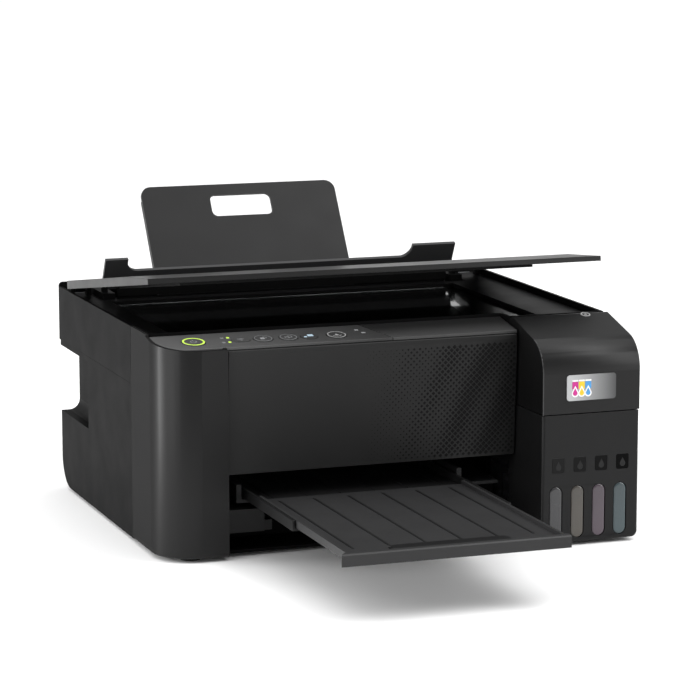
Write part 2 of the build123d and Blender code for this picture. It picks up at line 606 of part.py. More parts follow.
def scanner_hinges():
    """Two steel hinge pins with their flanges, held by the rear casing's side walls."""
    left_inner, right_inner = ARM_LEFT_X + ARM_GAP + WALL, ARM_RIGHT_X - ARM_GAP - WALL
    left_pin = rod_x(*SCANNER_PIVOT, HINGE_PIN_R, HINGE_SPANS[0][0], left_inner)
    left_pin += rod_x(*SCANNER_PIVOT, HINGE_PIN_R + 0.4, left_inner, left_inner + 1.5)
    right_pin = rod_x(*SCANNER_PIVOT, HINGE_PIN_R, right_inner, HINGE_SPANS[1][1])
    right_pin += rod_x(*SCANNER_PIVOT, HINGE_PIN_R + 0.4, right_inner - 1.5, right_inner)
    return Compound(children=[left_pin, right_pin])


def scanner_glass():
    x0, x1, y0, y1 = GLASS
    return block(x0 - 5, x1 + 5, y0 - 2, y1 + 2, BED_Z - 6.0, BED_Z - 3.2)


SCAN_ROD_Y, SCAN_ROD_Z = 10.0, 137.0
SCAN_PARK_X = -145.0


def scan_rod():
    """Steel rod that the scan carriage slides along, in two end blocks."""
    rod = rod_x(SCAN_ROD_Y, SCAN_ROD_Z, 3.0, -172.0, 166.0)
    for x in (-172.0, 161.0):
        rod += block(x, x + 5, SCAN_ROD_Y - 6, SCAN_ROD_Y + 6, SEAM_Z + WALL, SCAN_ROD_Z + 5)
    return rod


def scan_carriage():
    """Long contact image sensor on its carriage."""
    bar = block(SCAN_PARK_X - 12, SCAN_PARK_X + 12, -78.0, 86.0, 144.0, 159.0)
    foot = block(SCAN_PARK_X - 10, SCAN_PARK_X + 10, SCAN_ROD_Y - 9, SCAN_ROD_Y + 9, 132.0, 145.0)
    rollers = rod_x(-75.0, 159.6, 1.2, SCAN_PARK_X - 9, SCAN_PARK_X + 9)
    lens_groove = block(SCAN_PARK_X - 3, SCAN_PARK_X + 3, -72.0, 82.0, 158.0, 165.0)
    rod_bore = rod_x(SCAN_ROD_Y, SCAN_ROD_Z, 3.0 + RUNNING_GAP, SCAN_PARK_X - 20, SCAN_PARK_X + 20)
    return bar + foot + rollers - lens_groove - rod_bore


LID_HALF_WIDTH = 186.5
LID_FRONT_LEFT_Y, LID_FRONT_RIGHT_Y = -97.0, -104.0
LID_WAIST_Y = 103.0
LID_ARM_GAP = 0.5
LID_REAR_THICKNESS = 7.0
LID_FRONT_THICKNESS = 4.0
MAT = (-155.0, 139.0, -76.0, 99.0)
MAT_DROP = 2.0


def lid_at_rest(shape):
    """Turn a lid part, modelled closed, up to the resting angle about the lid's hinge axis."""
    hinge = Axis((0, LID_PIVOT[0], LID_PIVOT[1]), (-1, 0, 0))
    return shape.rotate(hinge, LID_REST_ANGLE)


def lid_cover():
    """Flat cover, thinner at its front edge, with an arm and a knuckle at each rear corner."""
    base_z = LID_PIVOT[1]
    rear = LID_PIVOT[0]
    left_x, right_x = ARM_LEFT_X - LID_ARM_GAP, ARM_RIGHT_X + LID_ARM_GAP
    plan = make_face(Polyline((-LID_HALF_WIDTH, LID_FRONT_LEFT_Y), (LID_HALF_WIDTH, LID_FRONT_RIGHT_Y),
                              (LID_HALF_WIDTH, rear), (right_x, rear), (right_x, LID_WAIST_Y),
                              (left_x, LID_WAIST_Y), (left_x, rear), (-LID_HALF_WIDTH, rear), close=True))
    front_y = LID_FRONT_RIGHT_Y - 1
    side = [(front_y, base_z), (rear + 1, base_z), (rear + 1, base_z + LID_REAR_THICKNESS),
            (-40.0, base_z + LID_REAR_THICKNESS), (front_y, base_z + LID_FRONT_THICKNESS)]
    cover = prism_z(plan, base_z - 5, base_z + 20) & prism_x(side, -200, 200)
    x0, x1, y0, y1 = MAT
    cover -= block(x0 - 1, x1 + 1, y0 - 1, y1 + 1, base_z - 5, base_z + 2.6)
    for x0, x1 in LID_KNUCKLES:
        cover -= block(x0 - 5.2, x1 + 5.2, rear - 4.4, rear + 2, base_z - 5, base_z + 4.2)
        cover += block(x0, x1, rear - 2.6, rear + 2.0, base_z, base_z + 5)
        cover += rod_x(*LID_PIVOT, 2.6, x0, x1)
        cover -= rod_x(*LID_PIVOT, 1.5 + RUNNING_GAP, x0 - 1, x1 + 1)
    return lid_at_rest(cover)


def lid_mat():
    """Soft pad that holds a page flat on the glass."""
    x0, x1, y0, y1 = MAT
    return lid_at_rest(block(x0, x1, y0, y1, LID_PIVOT[1] - MAT_DROP, LID_PIVOT[1] + 2.6))


# ---------------------------------------------------------------- rear paper feed
def hopper():
    """Sloping plate behind the paper, cut by the slots that the edge guides run in."""
    plate = slab_on_hopper(-151.0, 144.0, -92.0, -6.0, 0.0, 2.6)
    for low in (-52.0, -34.0):
        plate -= slab_on_hopper(-140.0, 92.0, low, low + 4.4, -1, 4)
    for x in (-151.0, 140.0):
        plate += slab_on_hopper(x, x + 4.0, -92.0, -6.0, 2.0, 11.0)
    return plate


def edge_guide(inner_x, outward):
    """Upright fence beside the paper, with two tongues in the hopper's slots."""
    x0, x1 = sorted((inner_x, inner_x + outward * 3.0))
    fence = slab_on_hopper(x0, x1, -60.0, -24.0, -4.0, -0.3)
    f0, f1 = sorted((inner_x, inner_x + outward * 9.0))
    fence += slab_on_hopper(f0, f1, -56.0, -28.0, -2.0, -0.3)
    for low in (-52.0, -34.0):
        fence += slab_on_hopper(f0, f1, low + 0.5, low + 3.9, -0.5, 2.2)
    return fence


def paper_support():
    """Tall sliding plate that the loaded paper leans on, shown pulled up."""
    plate = slab_on_hopper(-112.0, 62.0, -14.0, SUPPORT_TOP_ALONG, SUPPORT_FRONT, SUPPORT_BACK)
    window = slab_on_hopper(-52.0, 2.0, 66.0, 86.0, 2.0, 7.0)
    window = fillet(window.edges().filter_by(lambda e: abs(e.length - 5.0) < 0.01), 5.0)
    plate -= window
    edges = plate.edges().filter_by(lambda e: abs(e.length - 2.6) < 0.01).sort_by(Axis.Z)[-2:]
    plate = fillet(edges, 9.0)
    for x in (-112.0, 59.0):
        plate += slab_on_hopper(x, x + 3.0, -14.0, SUPPORT_TOP_ALONG - 12.0, 5.0, 8.0)
    return plate


# The guard is drawn upright above its pivot, then leans forward at rest.
GUARD_X0, GUARD_X1 = -161.8, 148.7
GUARD_STEP_X, GUARD_STEP_UP = 4.8, 4.6
GUARD_LOW, GUARD_BAR_UP, GUARD_EAR_UP = -2.6, 14.8, 26.8
GUARD_LEAN_ANGLE = 28.0
GUARD_THICKNESS = 3.0
EAR_HOLLOW_R = 9.0
LEFT_EAR_WIDTH, RIGHT_EAR_WIDTH = 19.4, 39.1


def drawn_along_y(outline, y0, y1):
    """A closed (x, z) outline drawn out from y0 to y1."""
    return extrude(Plane.XZ.offset(-y0) * make_face(outline), y0 - y1)


def left_ear_outline():
    """Outer side stepped out over the post, straight top, and a round hollow down to the bar."""
    low_x, top_x1 = GUARD_X0 + GUARD_STEP_X, GUARD_X0 + LEFT_EAR_WIDTH
    centre = (top_x1 + EAR_HOLLOW_R, GUARD_BAR_UP + EAR_HOLLOW_R)
    reach = EAR_HOLLOW_R * math.cos(math.radians(45))
    return (Polyline((centre[0], GUARD_BAR_UP), (centre[0], GUARD_LOW), (low_x, GUARD_LOW),
                     (low_x, GUARD_STEP_UP), (GUARD_X0, GUARD_STEP_UP), (GUARD_X0, GUARD_EAR_UP),
                     (top_x1, GUARD_EAR_UP), (top_x1, centre[1]))
            + ThreePointArc((top_x1, centre[1]), (centre[0] - reach, centre[1] - reach),
                            (centre[0], GUARD_BAR_UP)))


def right_ear_outline():
    """Upright outer side, long straight top, and a sweep down to the bar."""
    top_x0 = GUARD_X1 - RIGHT_EAR_WIDTH
    sweep, rise = 8.6, GUARD_EAR_UP - GUARD_BAR_UP
    share = math.sin(math.radians(45))
    middle = (top_x0 - sweep + share * sweep, GUARD_EAR_UP - share * rise)
    return (ThreePointArc((top_x0 - sweep, GUARD_BAR_UP), middle, (top_x0, GUARD_EAR_UP))
            + Polyline((top_x0, GUARD_EAR_UP), (GUARD_X1, GUARD_EAR_UP), (GUARD_X1, GUARD_LOW),
                       (top_x0 - sweep, GUARD_LOW), (top_x0 - sweep, GUARD_BAR_UP)))


def feeder_guard():
    """U-shaped flap in front of the paper, with a raised ear at each end, leaning forward."""
    y0, y1 = -GUARD_THICKNESS / 2, GUARD_THICKNESS / 2
    low_x = GUARD_X0 + GUARD_STEP_X
    guard = block(low_x + 10, GUARD_X1 - 10, y0, y1, GUARD_LOW, GUARD_BAR_UP)
    guard += drawn_along_y(left_ear_outline(), y0, y1)
    guard += drawn_along_y(right_ear_outline(), y0, y1)
    guard += rod_x(0, 0, GUARD_THICKNESS / 2, low_x - 3.5, low_x + 5)
    guard += rod_x(0, 0, GUARD_THICKNESS / 2, GUARD_X1 - 5, GUARD_X1 + 3.5)
    return Pos(0, *GUARD_PIVOT) * Rot(GUARD_LEAN_ANGLE, 0, 0) * guard


# ---------------------------------------------------------------- output tray
def output_tray_deck():
    """Fixed shelf with two side rails that the output tray slides on."""
    left, right = TRAY_LEFT_X - 2.0, TRAY_RIGHT_X + 2.0
    front_y, rear_y = -112.0, 104.0
    deck = block(left - 4, right + 35, front_y, rear_y, SHELF_Z, SHELF_Z + WALL)
    for x in (left - 4, right):
        deck += block(x, x + 4, front_y, rear_y, 42.0, 55.0)
    for x in (-110.0, 80.0):
        for y in (-60.0, 60.0):
            deck += block(x, x + 6, y, y + 6, UNDERSIDE_Z + WALL, SHELF_Z + 0.5)
    return deck


STAGE_LENGTH = 205.0
REAR_STAGE_FRONT_Y = TRAY_FRONT_Y + 118.0


def tray_rear_stage():
    """Outer tray: a shallow channel that carries the front stage."""
    y0, y1 = REAR_STAGE_FRONT_Y, REAR_STAGE_FRONT_Y + STAGE_LENGTH
    channel = block(TRAY_LEFT_X, TRAY_RIGHT_X, y0, y1, TRAY_FLOOR_Z - 0.6, TRAY_FLOOR_Z + 1.2)
    for x in (TRAY_LEFT_X, TRAY_RIGHT_X - 2.4):
        channel += block(x, x + 2.4, y0, y1, TRAY_FLOOR_Z - 0.6, TRAY_TOP_Z - 1.5)
    return channel


def tray_front_stage():
    """Inner tray with its deep front bar and a pocket for the stopper."""
    left, right = TRAY_LEFT_X + 3.0, TRAY_RIGHT_X - 3.0
    low_z, rear_y = TRAY_FLOOR_Z + 1.6, TRAY_FRONT_Y + STAGE_LENGTH
    plate = block(left, right, TRAY_FRONT_Y + 4, rear_y, low_z, low_z + 3.0)
    bar_plan = Polyline((TRAY_LEFT_X - 4, TRAY_FRONT_Y), (right, TRAY_FRONT_Y), (right, TRAY_FRONT_Y + 7),
                        (TRAY_LEFT_X + 1, TRAY_FRONT_Y + 7), close=True)
    bar = prism_z(make_face(bar_plan), TRAY_FLOOR_Z, TRAY_TOP_Z)
    bar = chamfer(bar.edges().filter_by(Axis.X).group_by(Axis.Z)[-1], 1.0)
    plate += bar
    for x in (left, right - 2.4):
        plate += block(x, x + 2.4, TRAY_FRONT_Y + 4, rear_y, low_z, TRAY_TOP_Z - 1.5)
    plate -= block(STOPPER_X[0] - 0.5, STOPPER_X[1] + 0.5, STOPPER_PIVOT[0] - 3.4,
                   STOPPER_PIVOT[0] + STOPPER_REACH + 1.5, low_z + 1.0, TRAY_TOP_Z + 5)
    for x in (STOPPER_X[0] - 3.5, STOPPER_X[1] + 0.5):
        plate += block(x, x + 3.0, STOPPER_PIVOT[0] - 2.2, STOPPER_PIVOT[0] + 2.2,
                       TRAY_FLOOR_Z + 2, STOPPER_PIVOT[1])
        plate += rod_x(*STOPPER_PIVOT, 2.2, x, x + 3.0)
    plate += rod_x(*STOPPER_PIVOT, 1.0, STOPPER_X[0] - 2, STOPPER_X[0] + 4)
    plate += rod_x(*STOPPER_PIVOT, 1.0, STOPPER_X[1] - 4, STOPPER_X[1] + 2)
    return plate


STOPPER_X = (-76.0, 14.0)
STOPPER_REACH = 14.5
STOPPER_PIVOT = (TRAY_FRONT_Y + 11.5, TRAY_FLOOR_Z + 5.4)


def tray_stopper():
    """Flap that swings up at the tray's front to stop the printed pages."""
    x0, x1 = STOPPER_X
    y, z = STOPPER_PIVOT
    flap = block(x0, x1, y, y + STOPPER_REACH, z - 1.2, z + 1.2)
    flap += rod_x(y, z, 2.1, x0, x1)
    tip = flap.edges().filter_by(Axis.Z).sort_by(Axis.Y)[-2:]
    flap = fillet(tip, 4.0)
    flap -= rod_x(y, z, 1.0 + RUNNING_GAP, x0 - 1, x0 + 4.5)
    flap -= rod_x(y, z, 1.0 + RUNNING_GAP, x1 - 4.5, x1 + 1)
    return flap


# ---------------------------------------------------------------- print engine
IDLER_Y = FEED_Y - (FEED_TEETH + IDLER_TEETH) * GEAR_MODULE / 2 - GEAR_PLAY
EJECT_Y = IDLER_Y - (IDLER_TEETH + EJECT_TEETH) * GEAR_MODULE / 2 - GEAR_PLAY
EJECT_Z = FEED_Z
PICKUP_Y, PICKUP_Z, PICKUP_R = 70.6, 106.6, 13.0
BOTTOM_FRAME_Z = 57.0
FRAME_TOP_Z = 124.0


def main_frame():
    """Pressed steel chassis: two side plates, a front rail and a lower cross member."""
    frame = block(-FRAME_X, FRAME_X, -42.0, -40.4, 86.0, FRAME_TOP_Z)
    frame += block(-FRAME_X, FRAME_X, -42.0, -30.0, FRAME_TOP_Z - FRAME_SHEET, FRAME_TOP_Z)
    frame += block(-FRAME_X, FRAME_X, -8.0, 34.0, BOTTOM_FRAME_Z, BOTTOM_FRAME_Z + FRAME_SHEET)
    for x in (-FRAME_X - FRAME_SHEET, FRAME_X):
        plate = block(x, x + FRAME_SHEET, -42.0, 82.0, BOTTOM_FRAME_Z, FRAME_TOP_Z)
        frame += plate
    left, right = -FRAME_X - 3, -FRAME_X + 3
    frame -= rod_x(FEED_Y, FEED_Z, 3.0 + RUNNING_GAP, left, right)
    frame -= rod_x(EJECT_Y, EJECT_Z, 2.0 + RUNNING_GAP, left, right)
    frame -= rod_x(PICKUP_Y, PICKUP_Z, 3.0 + RUNNING_GAP, left, right)
    frame += rod_x(IDLER_Y, FEED_Z, 2.0, GEAR_X0 - 1, -FRAME_X)
    frame -= rod_x(SHAFT_Y, SHAFT_Z, SHAFT_R, -200, 200)
    frame -= rod_x(*FEED_MOTOR, 2.0, left, right)
    bearing = block(96.0, 98.0, EJECT_Y - 6, 76.0, BOTTOM_FRAME_Z, 76.6)
    bearing += block(96.0, 98.0, 62.0, 76.0, BOTTOM_FRAME_Z, 114.0)
    bearing -= rod_x(FEED_Y, FEED_Z, 3.0 + RUNNING_GAP, 90, 100)
    bearing -= rod_x(EJECT_Y, EJECT_Z, 2.0 + RUNNING_GAP, 90, 100)
    bearing -= rod_x(PICKUP_Y, PICKUP_Z, 3.0 + RUNNING_GAP, 90, 100)
    return frame + bearing


def carriage_shaft():
    return rod_x(SHAFT_Y, SHAFT_Z, SHAFT_R, -FRAME_X - 3, FRAME_X + 3)


def print_carriage():
    """Carriage with its ink dampers above and the print head below."""
    x0, x1 = CARRIAGE_PARK_X - CARRIAGE_HALF_WIDTH, CARRIAGE_PARK_X + CARRIAGE_HALF_WIDTH
    body = block(x0, x1, -34.0, 44.0, 88.0, 114.0)
    body = fillet(body.edges().filter_by(Axis.Z), 3.0)
    body += block(x0 + 6, x1 - 6, -24.0, 22.0, 113.0, 120.0)
    head = block(CARRIAGE_PARK_X - 18, CARRIAGE_PARK_X + 18, 4.0, 28.0, 77.4, 89.0)
    body += head
    body += block(CARRIAGE_PARK_X - 8, CARRIAGE_PARK_X + 8, 43.0, BELT_Y - 0.6, 103.0, 108.0)
    return body - rod_x(SHAFT_Y, SHAFT_Z, SHAFT_R + RUNNING_GAP, x0 - 1, x1 + 1)


def belt_outline(radius):
    """Racetrack loop of the belt in the X-Z plane."""
    face = Rectangle(2 * PULLEY_X, 2 * radius)
    for x in (-PULLEY_X, PULLEY_X):
        face += Pos(x, 0) * Circle(radius)
    return Plane.XZ.offset(-BELT_Y) * (Pos(0, BELT_Z) * face)


def carriage_belt():
    return extrude(belt_outline(PULLEY_R + 1.4), -5.0) - extrude(belt_outline(PULLEY_R + 0.3), -5.0)


def belt_pulley(x):
    """Toothed belt pulley turning about Y."""
    wheel = rod_y(x, BELT_Z, PULLEY_R, BELT_Y, BELT_Y + 5.0)
    wheel += rod_y(x, BELT_Z, PULLEY_R + 2.4, BELT_Y + 5.1, BELT_Y + 6.1)
    for step in range(12):
        angle = step * math.pi / 6
        groove_x, groove_z = x + PULLEY_R * math.cos(angle), BELT_Z + PULLEY_R * math.sin(angle)
        wheel -= rod_y(groove_x, groove_z, 0.5, BELT_Y - 1, BELT_Y + 5.0)
    wheel += rod_y(x, BELT_Z, PULLEY_R - 1.2, BELT_Y + 5.0, BELT_Y + 5.2)
    return wheel - rod_y(x, BELT_Z, 1.5 + RUNNING_GAP, BELT_Y - 1, BELT_Y + 8)


FEED_MOTOR = (0.0, 98.0)


def drive_motors():
    """The belt motor with the far pulley's post, and the paper feed motor on the left side plate."""
    belt_can = rod_y(PULLEY_X, BELT_Z, 11.0, BELT_Y + 7.0, BELT_Y + 30.0)
    belt_spindle = rod_y(PULLEY_X, BELT_Z, 1.5, BELT_Y + 0.5, BELT_Y + 8.0)
    post = block(-PULLEY_X - 6, -PULLEY_X + 6, BELT_Y + 7.0, BELT_Y + 9.0, 98.0, 121.0)
    pin = rod_y(-PULLEY_X, BELT_Z, 1.5, BELT_Y + 0.5, BELT_Y + 8.0)
    feed_can = rod_x(*FEED_MOTOR, 12.0, -FRAME_X, -FRAME_X + 8.0)
    feed_spindle = rod_x(*FEED_MOTOR, 1.5, -FRAME_X - 4.0, -FRAME_X)
    return Compound(children=[belt_can + belt_spindle, post + pin, feed_can + feed_spindle])


def feed_roller():
    """Main paper feed roller: a coated bar with journals and its drive gear."""
    bar = rod_x(FEED_Y, FEED_Z, FEED_R, -145.0, 92.0)
    shaft = rod_x(FEED_Y, FEED_Z, 3.0, GEAR_X0 - 1, 100.0)
    return bar + shaft + gear_on_x(FEED_TEETH, FEED_Y, FEED_Z, GEAR_X0, GEAR_X1, 2.5)


def idler_gear():
    """Idler between the feed and eject gears, turned by half a tooth so that it meshes with both."""
    half_pitch = 180.0 / IDLER_TEETH
    return gear_on_x(IDLER_TEETH, IDLER_Y, FEED_Z, GEAR_X0, GEAR_X1, 2.0 + RUNNING_GAP, 90.0 + half_pitch)


def eject_roller():
    """Output roller: a thin shaft with five rubber tyres and its gear."""
    roller = rod_x(EJECT_Y, EJECT_Z, 2.0, GEAR_X0 - 1, 100.0)
    for centre in (-120.0, -72.0, -25.0, 22.0, 70.0):
        roller += rod_x(EJECT_Y, EJECT_Z, EJECT_R, centre - 6.0, centre + 6.0)
    return roller + gear_on_x(EJECT_TEETH, EJECT_Y, EJECT_Z, GEAR_X0, GEAR_X1, 1.5, 90.0)


def pickup_roller():
    """Rubber roller that takes the top sheet from the hopper."""
    shaft = rod_x(PICKUP_Y, PICKUP_Z, 3.0, -FRAME_X - 3.0, 100.0)
    return shaft + rod_x(PICKUP_Y, PICKUP_Z, PICKUP_R, -45.0, -5.0)


def platen():
    """Ribbed plate that the paper lies on under the print head."""
    plate = block(-138.0, 90.0, -6.0, 33.0, 62.0, 72.0)
    for step in range(16):
        x = -131.0 + step * 14.0
        plate += block(x, x + 1.6, -5.0, 32.0, 71.0, 75.0)
    return plate


def capping_station():
    """Park position seals for the print head."""
    tub = block(102.0, 158.0, -4.0, 33.0, 60.0, 72.0)
    seal = block(CARRIAGE_PARK_X - 17, CARRIAGE_PARK_X + 17, 5.0, 27.0, 71.0, 76.6)
    seal -= block(CARRIAGE_PARK_X - 15, CARRIAGE_PARK_X + 15, 7.0, 25.0, 72.5, 80.0)
    return tub + seal


def waste_ink_pad():
    return block(-98.0, 70.0, -70.0, 55.0, UNDERSIDE_Z + WALL, 38.0)


def power_supply():
    box = block(-165.0, -100.0, 108.0, 162.0, 30.0, 60.0)
    for step in range(7):
        x = -157.0 + step * 8.0
        box -= block(x, x + 3.0, 114.0, 156.0, 58.6, 61.0)
    return box


def main_board():
    """Control electronics: the board, its larger chips and the data socket at the rear."""
    board = block(-80.0, 150.0, 146.0, 147.6, 40.0, 106.0)
    board += block(-30.0, 0.0, 142.6, 146.0, 60.0, 88.0)
    board += block(40.0, 60.0, 143.4, 146.0, 70.0, 90.0)
    x0, x1, z0, z1 = SOCKET_FACE
    socket = block(x0, x1, 147.0, REAR_Y - 0.6, z0, z1)
    socket -= block(131.0, 141.0, 160.0, REAR_Y + 1, 61.0, 70.0)
    socket += block(133.5, 138.5, 158.0, 166.0, 64.0, 67.0)
    return board + socket


def ac_inlet():
    """Two-pin mains inlet in the rear wall."""
    x0, x1, z0, z1 = INLET_FACE
    body = block(x0, x1, 150.0, REAR_Y - 0.6, z0, z1)
    throat = block(-146.0, -128.0, 160.0, REAR_Y + 1, 75.5, 84.5)
    throat = fillet(throat.edges().filter_by(Axis.Y), 4.2)
    body -= throat
    for x in (-141.3, -132.7):
        body += rod_y(x, 80.0, 1.2, 158.0, 165.0)
    return body


# ---------------------------------------------------------------- write every sub-part
save("lower_case", lower_case())
save("case_screws", case_screws())
save("feet", feet())
save("rear_housing", rear_housing())
save("front_casing", front_casing())
save("front_panel", front_panel())
save("control_panel", control_panel())
save("panel_strip", panel_strip())
for button_name in BUTTONS:
    save(button_name, button(button_name))
save("tank_cover", tank_cover())
save("tank_badge", tank_badge())
save("tank_housing", tank_housing())
save("tank_deck", tank_deck())
for colour, centre_x in TANK_CENTRES.items():
    save("ink_tank_" + colour, ink_tank(centre_x))
    save("ink_cap_" + colour, ink_cap(centre_x))
save("scanner_case", scanner_case())
save("scanner_frame", scanner_frame())
save("scanner_hinges", scanner_hinges())
save("scanner_glass", scanner_glass())
save("scan_rod", scan_rod())
save("scan_carriage", scan_carriage())
save("lid_cover", lid_cover())
save("lid_mat", lid_mat())
save("hopper", hopper())
save("edge_guide_left", edge_guide(PAPER_LEFT_X - 0.5, -1))
save("edge_guide_right", edge_guide(PAPER_RIGHT_X + 0.5, 1))
save("paper_support", paper_support())
save("feeder_guard", feeder_guard())
save("output_tray_deck", output_tray_deck())
save("tray_rear_stage", tray_rear_stage())
save("tray_front_stage", tray_front_stage())
save("tray_stopper", tray_stopper())
save("main_frame", main_frame())
save("carriage_shaft", carriage_shaft())
save("print_carriage", print_carriage())
save("carriage_belt", carriage_belt())
save("motor_pulley", belt_pulley(PULLEY_X))
save("idler_pulley", belt_pulley(-PULLEY_X))
save("drive_motors", drive_motors())
save("feed_roller", feed_roller())
save("idler_gear", idler_gear())
save("eject_roller", eject_roller())
save("pickup_roller", pickup_roller())
save("platen", platen())
save("capping_station", capping_station())
save("waste_ink_pad", waste_ink_pad())
save("power_supply", power_supply())
save("main_board", main_board())
save("ac_inlet", ac_inlet())
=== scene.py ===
import bpy
import bmesh
import json
import math
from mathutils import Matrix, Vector


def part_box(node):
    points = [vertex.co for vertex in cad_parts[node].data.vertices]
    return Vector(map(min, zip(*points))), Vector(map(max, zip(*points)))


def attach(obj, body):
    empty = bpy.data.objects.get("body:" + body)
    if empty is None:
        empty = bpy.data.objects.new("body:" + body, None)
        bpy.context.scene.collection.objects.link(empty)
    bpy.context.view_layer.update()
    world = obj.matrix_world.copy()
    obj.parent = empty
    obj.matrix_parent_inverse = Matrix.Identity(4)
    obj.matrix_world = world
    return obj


# Looks of an ink-tank inkjet printer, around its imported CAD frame. Blender's unit is the metre.
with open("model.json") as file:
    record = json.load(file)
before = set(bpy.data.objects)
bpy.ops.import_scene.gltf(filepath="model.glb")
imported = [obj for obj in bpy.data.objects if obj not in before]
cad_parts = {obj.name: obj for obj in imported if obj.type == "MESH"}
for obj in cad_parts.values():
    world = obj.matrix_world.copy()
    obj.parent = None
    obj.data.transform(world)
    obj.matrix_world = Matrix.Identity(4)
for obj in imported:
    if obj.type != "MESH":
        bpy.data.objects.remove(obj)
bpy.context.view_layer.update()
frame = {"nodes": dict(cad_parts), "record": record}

MM = 0.001
REAR_Y = 173.5
CASE_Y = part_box("rear_housing")[1].y - REAR_Y * MM

# Places on the case, in millimetres from the ground centre of the closed case.
PANEL_BACK = (-89.0, 170.0)
PANEL_FRONT = (-127.0, 164.0)
DOOR_LOW = (-121.0, 65.0)
DOOR_HIGH = (-126.0, 158.0)
DOOR_RIGHT_X = 104.0
CASE_LEFT_X = -187.5
TANK_FRONT_Y = -173.5
TANK_CENTRES = {"black": 117.3, "yellow": 135.6, "magenta": 153.7, "cyan": 171.8}
WINDOW_LOW_Z, WINDOW_HIGH_Z, WINDOW_HALF_WIDTH = 6.4, 48.0, 5.5
BADGE_LEFT_X, BADGE_RIGHT_X = 125.0, 167.0
BUTTONS = {"power_button": (-155.0, -107.5), "wifi_button": (-117.6, -109.0),
           "status_button": (-99.9, -109.0), "copy_mono_button": (-79.6, -109.5),
           "copy_colour_button": (-63.0, -110.0), "stop_button": (-40.8, -110.5)}


def at(x, y, z):
    """A point given in millimetres from the ground centre of the closed case."""
    return Vector((x * MM, y * MM + CASE_Y, z * MM))


# ---------------------------------------------------------------- material helpers
# Scale of the noise behind a moulded grain, and the grain's height.
GRAIN_SCALE = 2400.0
GRAIN_DEPTH = 0.04 * MM


class Finish:
    """A Principled material and the few nodes that the finishes below share."""

    def __init__(self, name, colour, roughness, **sockets):
        self.material = bpy.data.materials.new(name)
        self.material.use_nodes = True
        self.tree = self.material.node_tree
        self.shader = self.tree.nodes["Principled BSDF"]
        self.shader.inputs["Base Color"].default_value = (*colour, 1)
        self.shader.inputs["Roughness"].default_value = roughness
        for socket, value in sockets.items():
            self.shader.inputs[socket.replace("_", " ")].default_value = value
        self.where = self.add("ShaderNodeTexCoord").outputs["Object"]

    def add(self, kind, **values):
        node = self.tree.nodes.new(kind)
        for name, value in values.items():
            setattr(node, name, value)
        return node

    def link(self, source, target):
        self.tree.links.new(source, target)

    def noise(self, scale, detail=3.0, stretch=None):
        """Noise over the object's own coordinates; stretch scales each axis."""
        node = self.add("ShaderNodeTexNoise")
        node.inputs["Scale"].default_value = scale
        node.inputs["Detail"].default_value = detail
        source = self.where
        if stretch:
            mapping = self.add("ShaderNodeMapping")
            mapping.inputs["Scale"].default_value = stretch
            self.link(source, mapping.inputs["Vector"])
            source = mapping.outputs["Vector"]
        self.link(source, node.inputs["Vector"])
        return node.outputs["Fac"]

    def along(self, axis):
        """The object's own coordinate along one axis, in metres."""
        node = self.add("ShaderNodeSeparateXYZ")
        self.link(self.where, node.inputs["Vector"])
        return node.outputs[axis]

    def ramp(self, factor, low, high, start=0.3, end=0.7):
        """A two-colour ramp over a factor."""
        node = self.add("ShaderNodeValToRGB")
        node.color_ramp.elements[0].position = start
        node.color_ramp.elements[0].color = (*low, 1)
        node.color_ramp.elements[1].position = end
        node.color_ramp.elements[1].color = (*high, 1)
        self.link(factor, node.inputs["Fac"])
        return node.outputs["Color"]

    def span(self, factor, low, high, start=0.3, end=0.7):
        """A number that runs from low to high over a factor."""
        node = self.add("ShaderNodeMapRange")
        for name, value in (("From Min", start), ("From Max", end), ("To Min", low), ("To Max", high)):
            node.inputs[name].default_value = value
        self.link(factor, node.inputs["Value"])
        return node.outputs["Result"]

    def bump(self, height, strength, distance):
        node = self.add("ShaderNodeBump")
        node.inputs["Strength"].default_value = strength
        node.inputs["Distance"].default_value = distance
        self.link(height, node.inputs["Height"])
        self.link(node.outputs["Normal"], self.shader.inputs["Normal"])

    def colour(self, source):
        self.link(source, self.shader.inputs["Base Color"])

    def roughness(self, source):
        self.link(source, self.shader.inputs["Roughness"])

    def mottle(self, tone):
        """A slow, slight variation of one tone over the part."""
        self.colour(self.ramp(self.noise(9.0, 3.0), shade(tone, 0.94), shade(tone, 1.06)))

    def uneven_sheen(self, roughness):
        self.roughness(self.span(self.noise(38.0, 4.0), roughness - 0.03, roughness + 0.03))

    def grain(self, strength):
        """The fine spark-eroded grain of a moulding tool."""
        self.bump(self.noise(GRAIN_SCALE, 2.0), strength, GRAIN_DEPTH)


def shade(colour, factor):
    return tuple(min(1.0, c * factor) for c in colour)


def moulded(name, colour, roughness, grain=0.3, **sockets):
    """Injection-moulded plastic: fine grain, slight tone and sheen variation."""
    finish = Finish(name, colour, roughness, **sockets)
    finish.mottle(colour)
    finish.uneven_sheen(roughness)
    finish.grain(grain)
    return finish.material


def painted_light_graded(name, axis, first, last, roughness, **sockets):
    """Moulded plastic with painted light and shade: its tone runs evenly along one axis, between two
    places given in mm.
    """
    finish = Finish(name, (first[1],) * 3, roughness, **sockets)
    shift = at(0, 0, 0)["XYZ".index(axis)]
    ends = sorted((first, last))
    factor = finish.span(finish.along(axis), 0.0, 1.0, ends[0][0] * MM + shift, ends[1][0] * MM + shift)
    finish.colour(finish.ramp(factor, (ends[0][1],) * 3, (ends[1][1],) * 3, 0.0, 1.0))
    finish.uneven_sheen(roughness)
    finish.grain(0.25)
    return finish.material


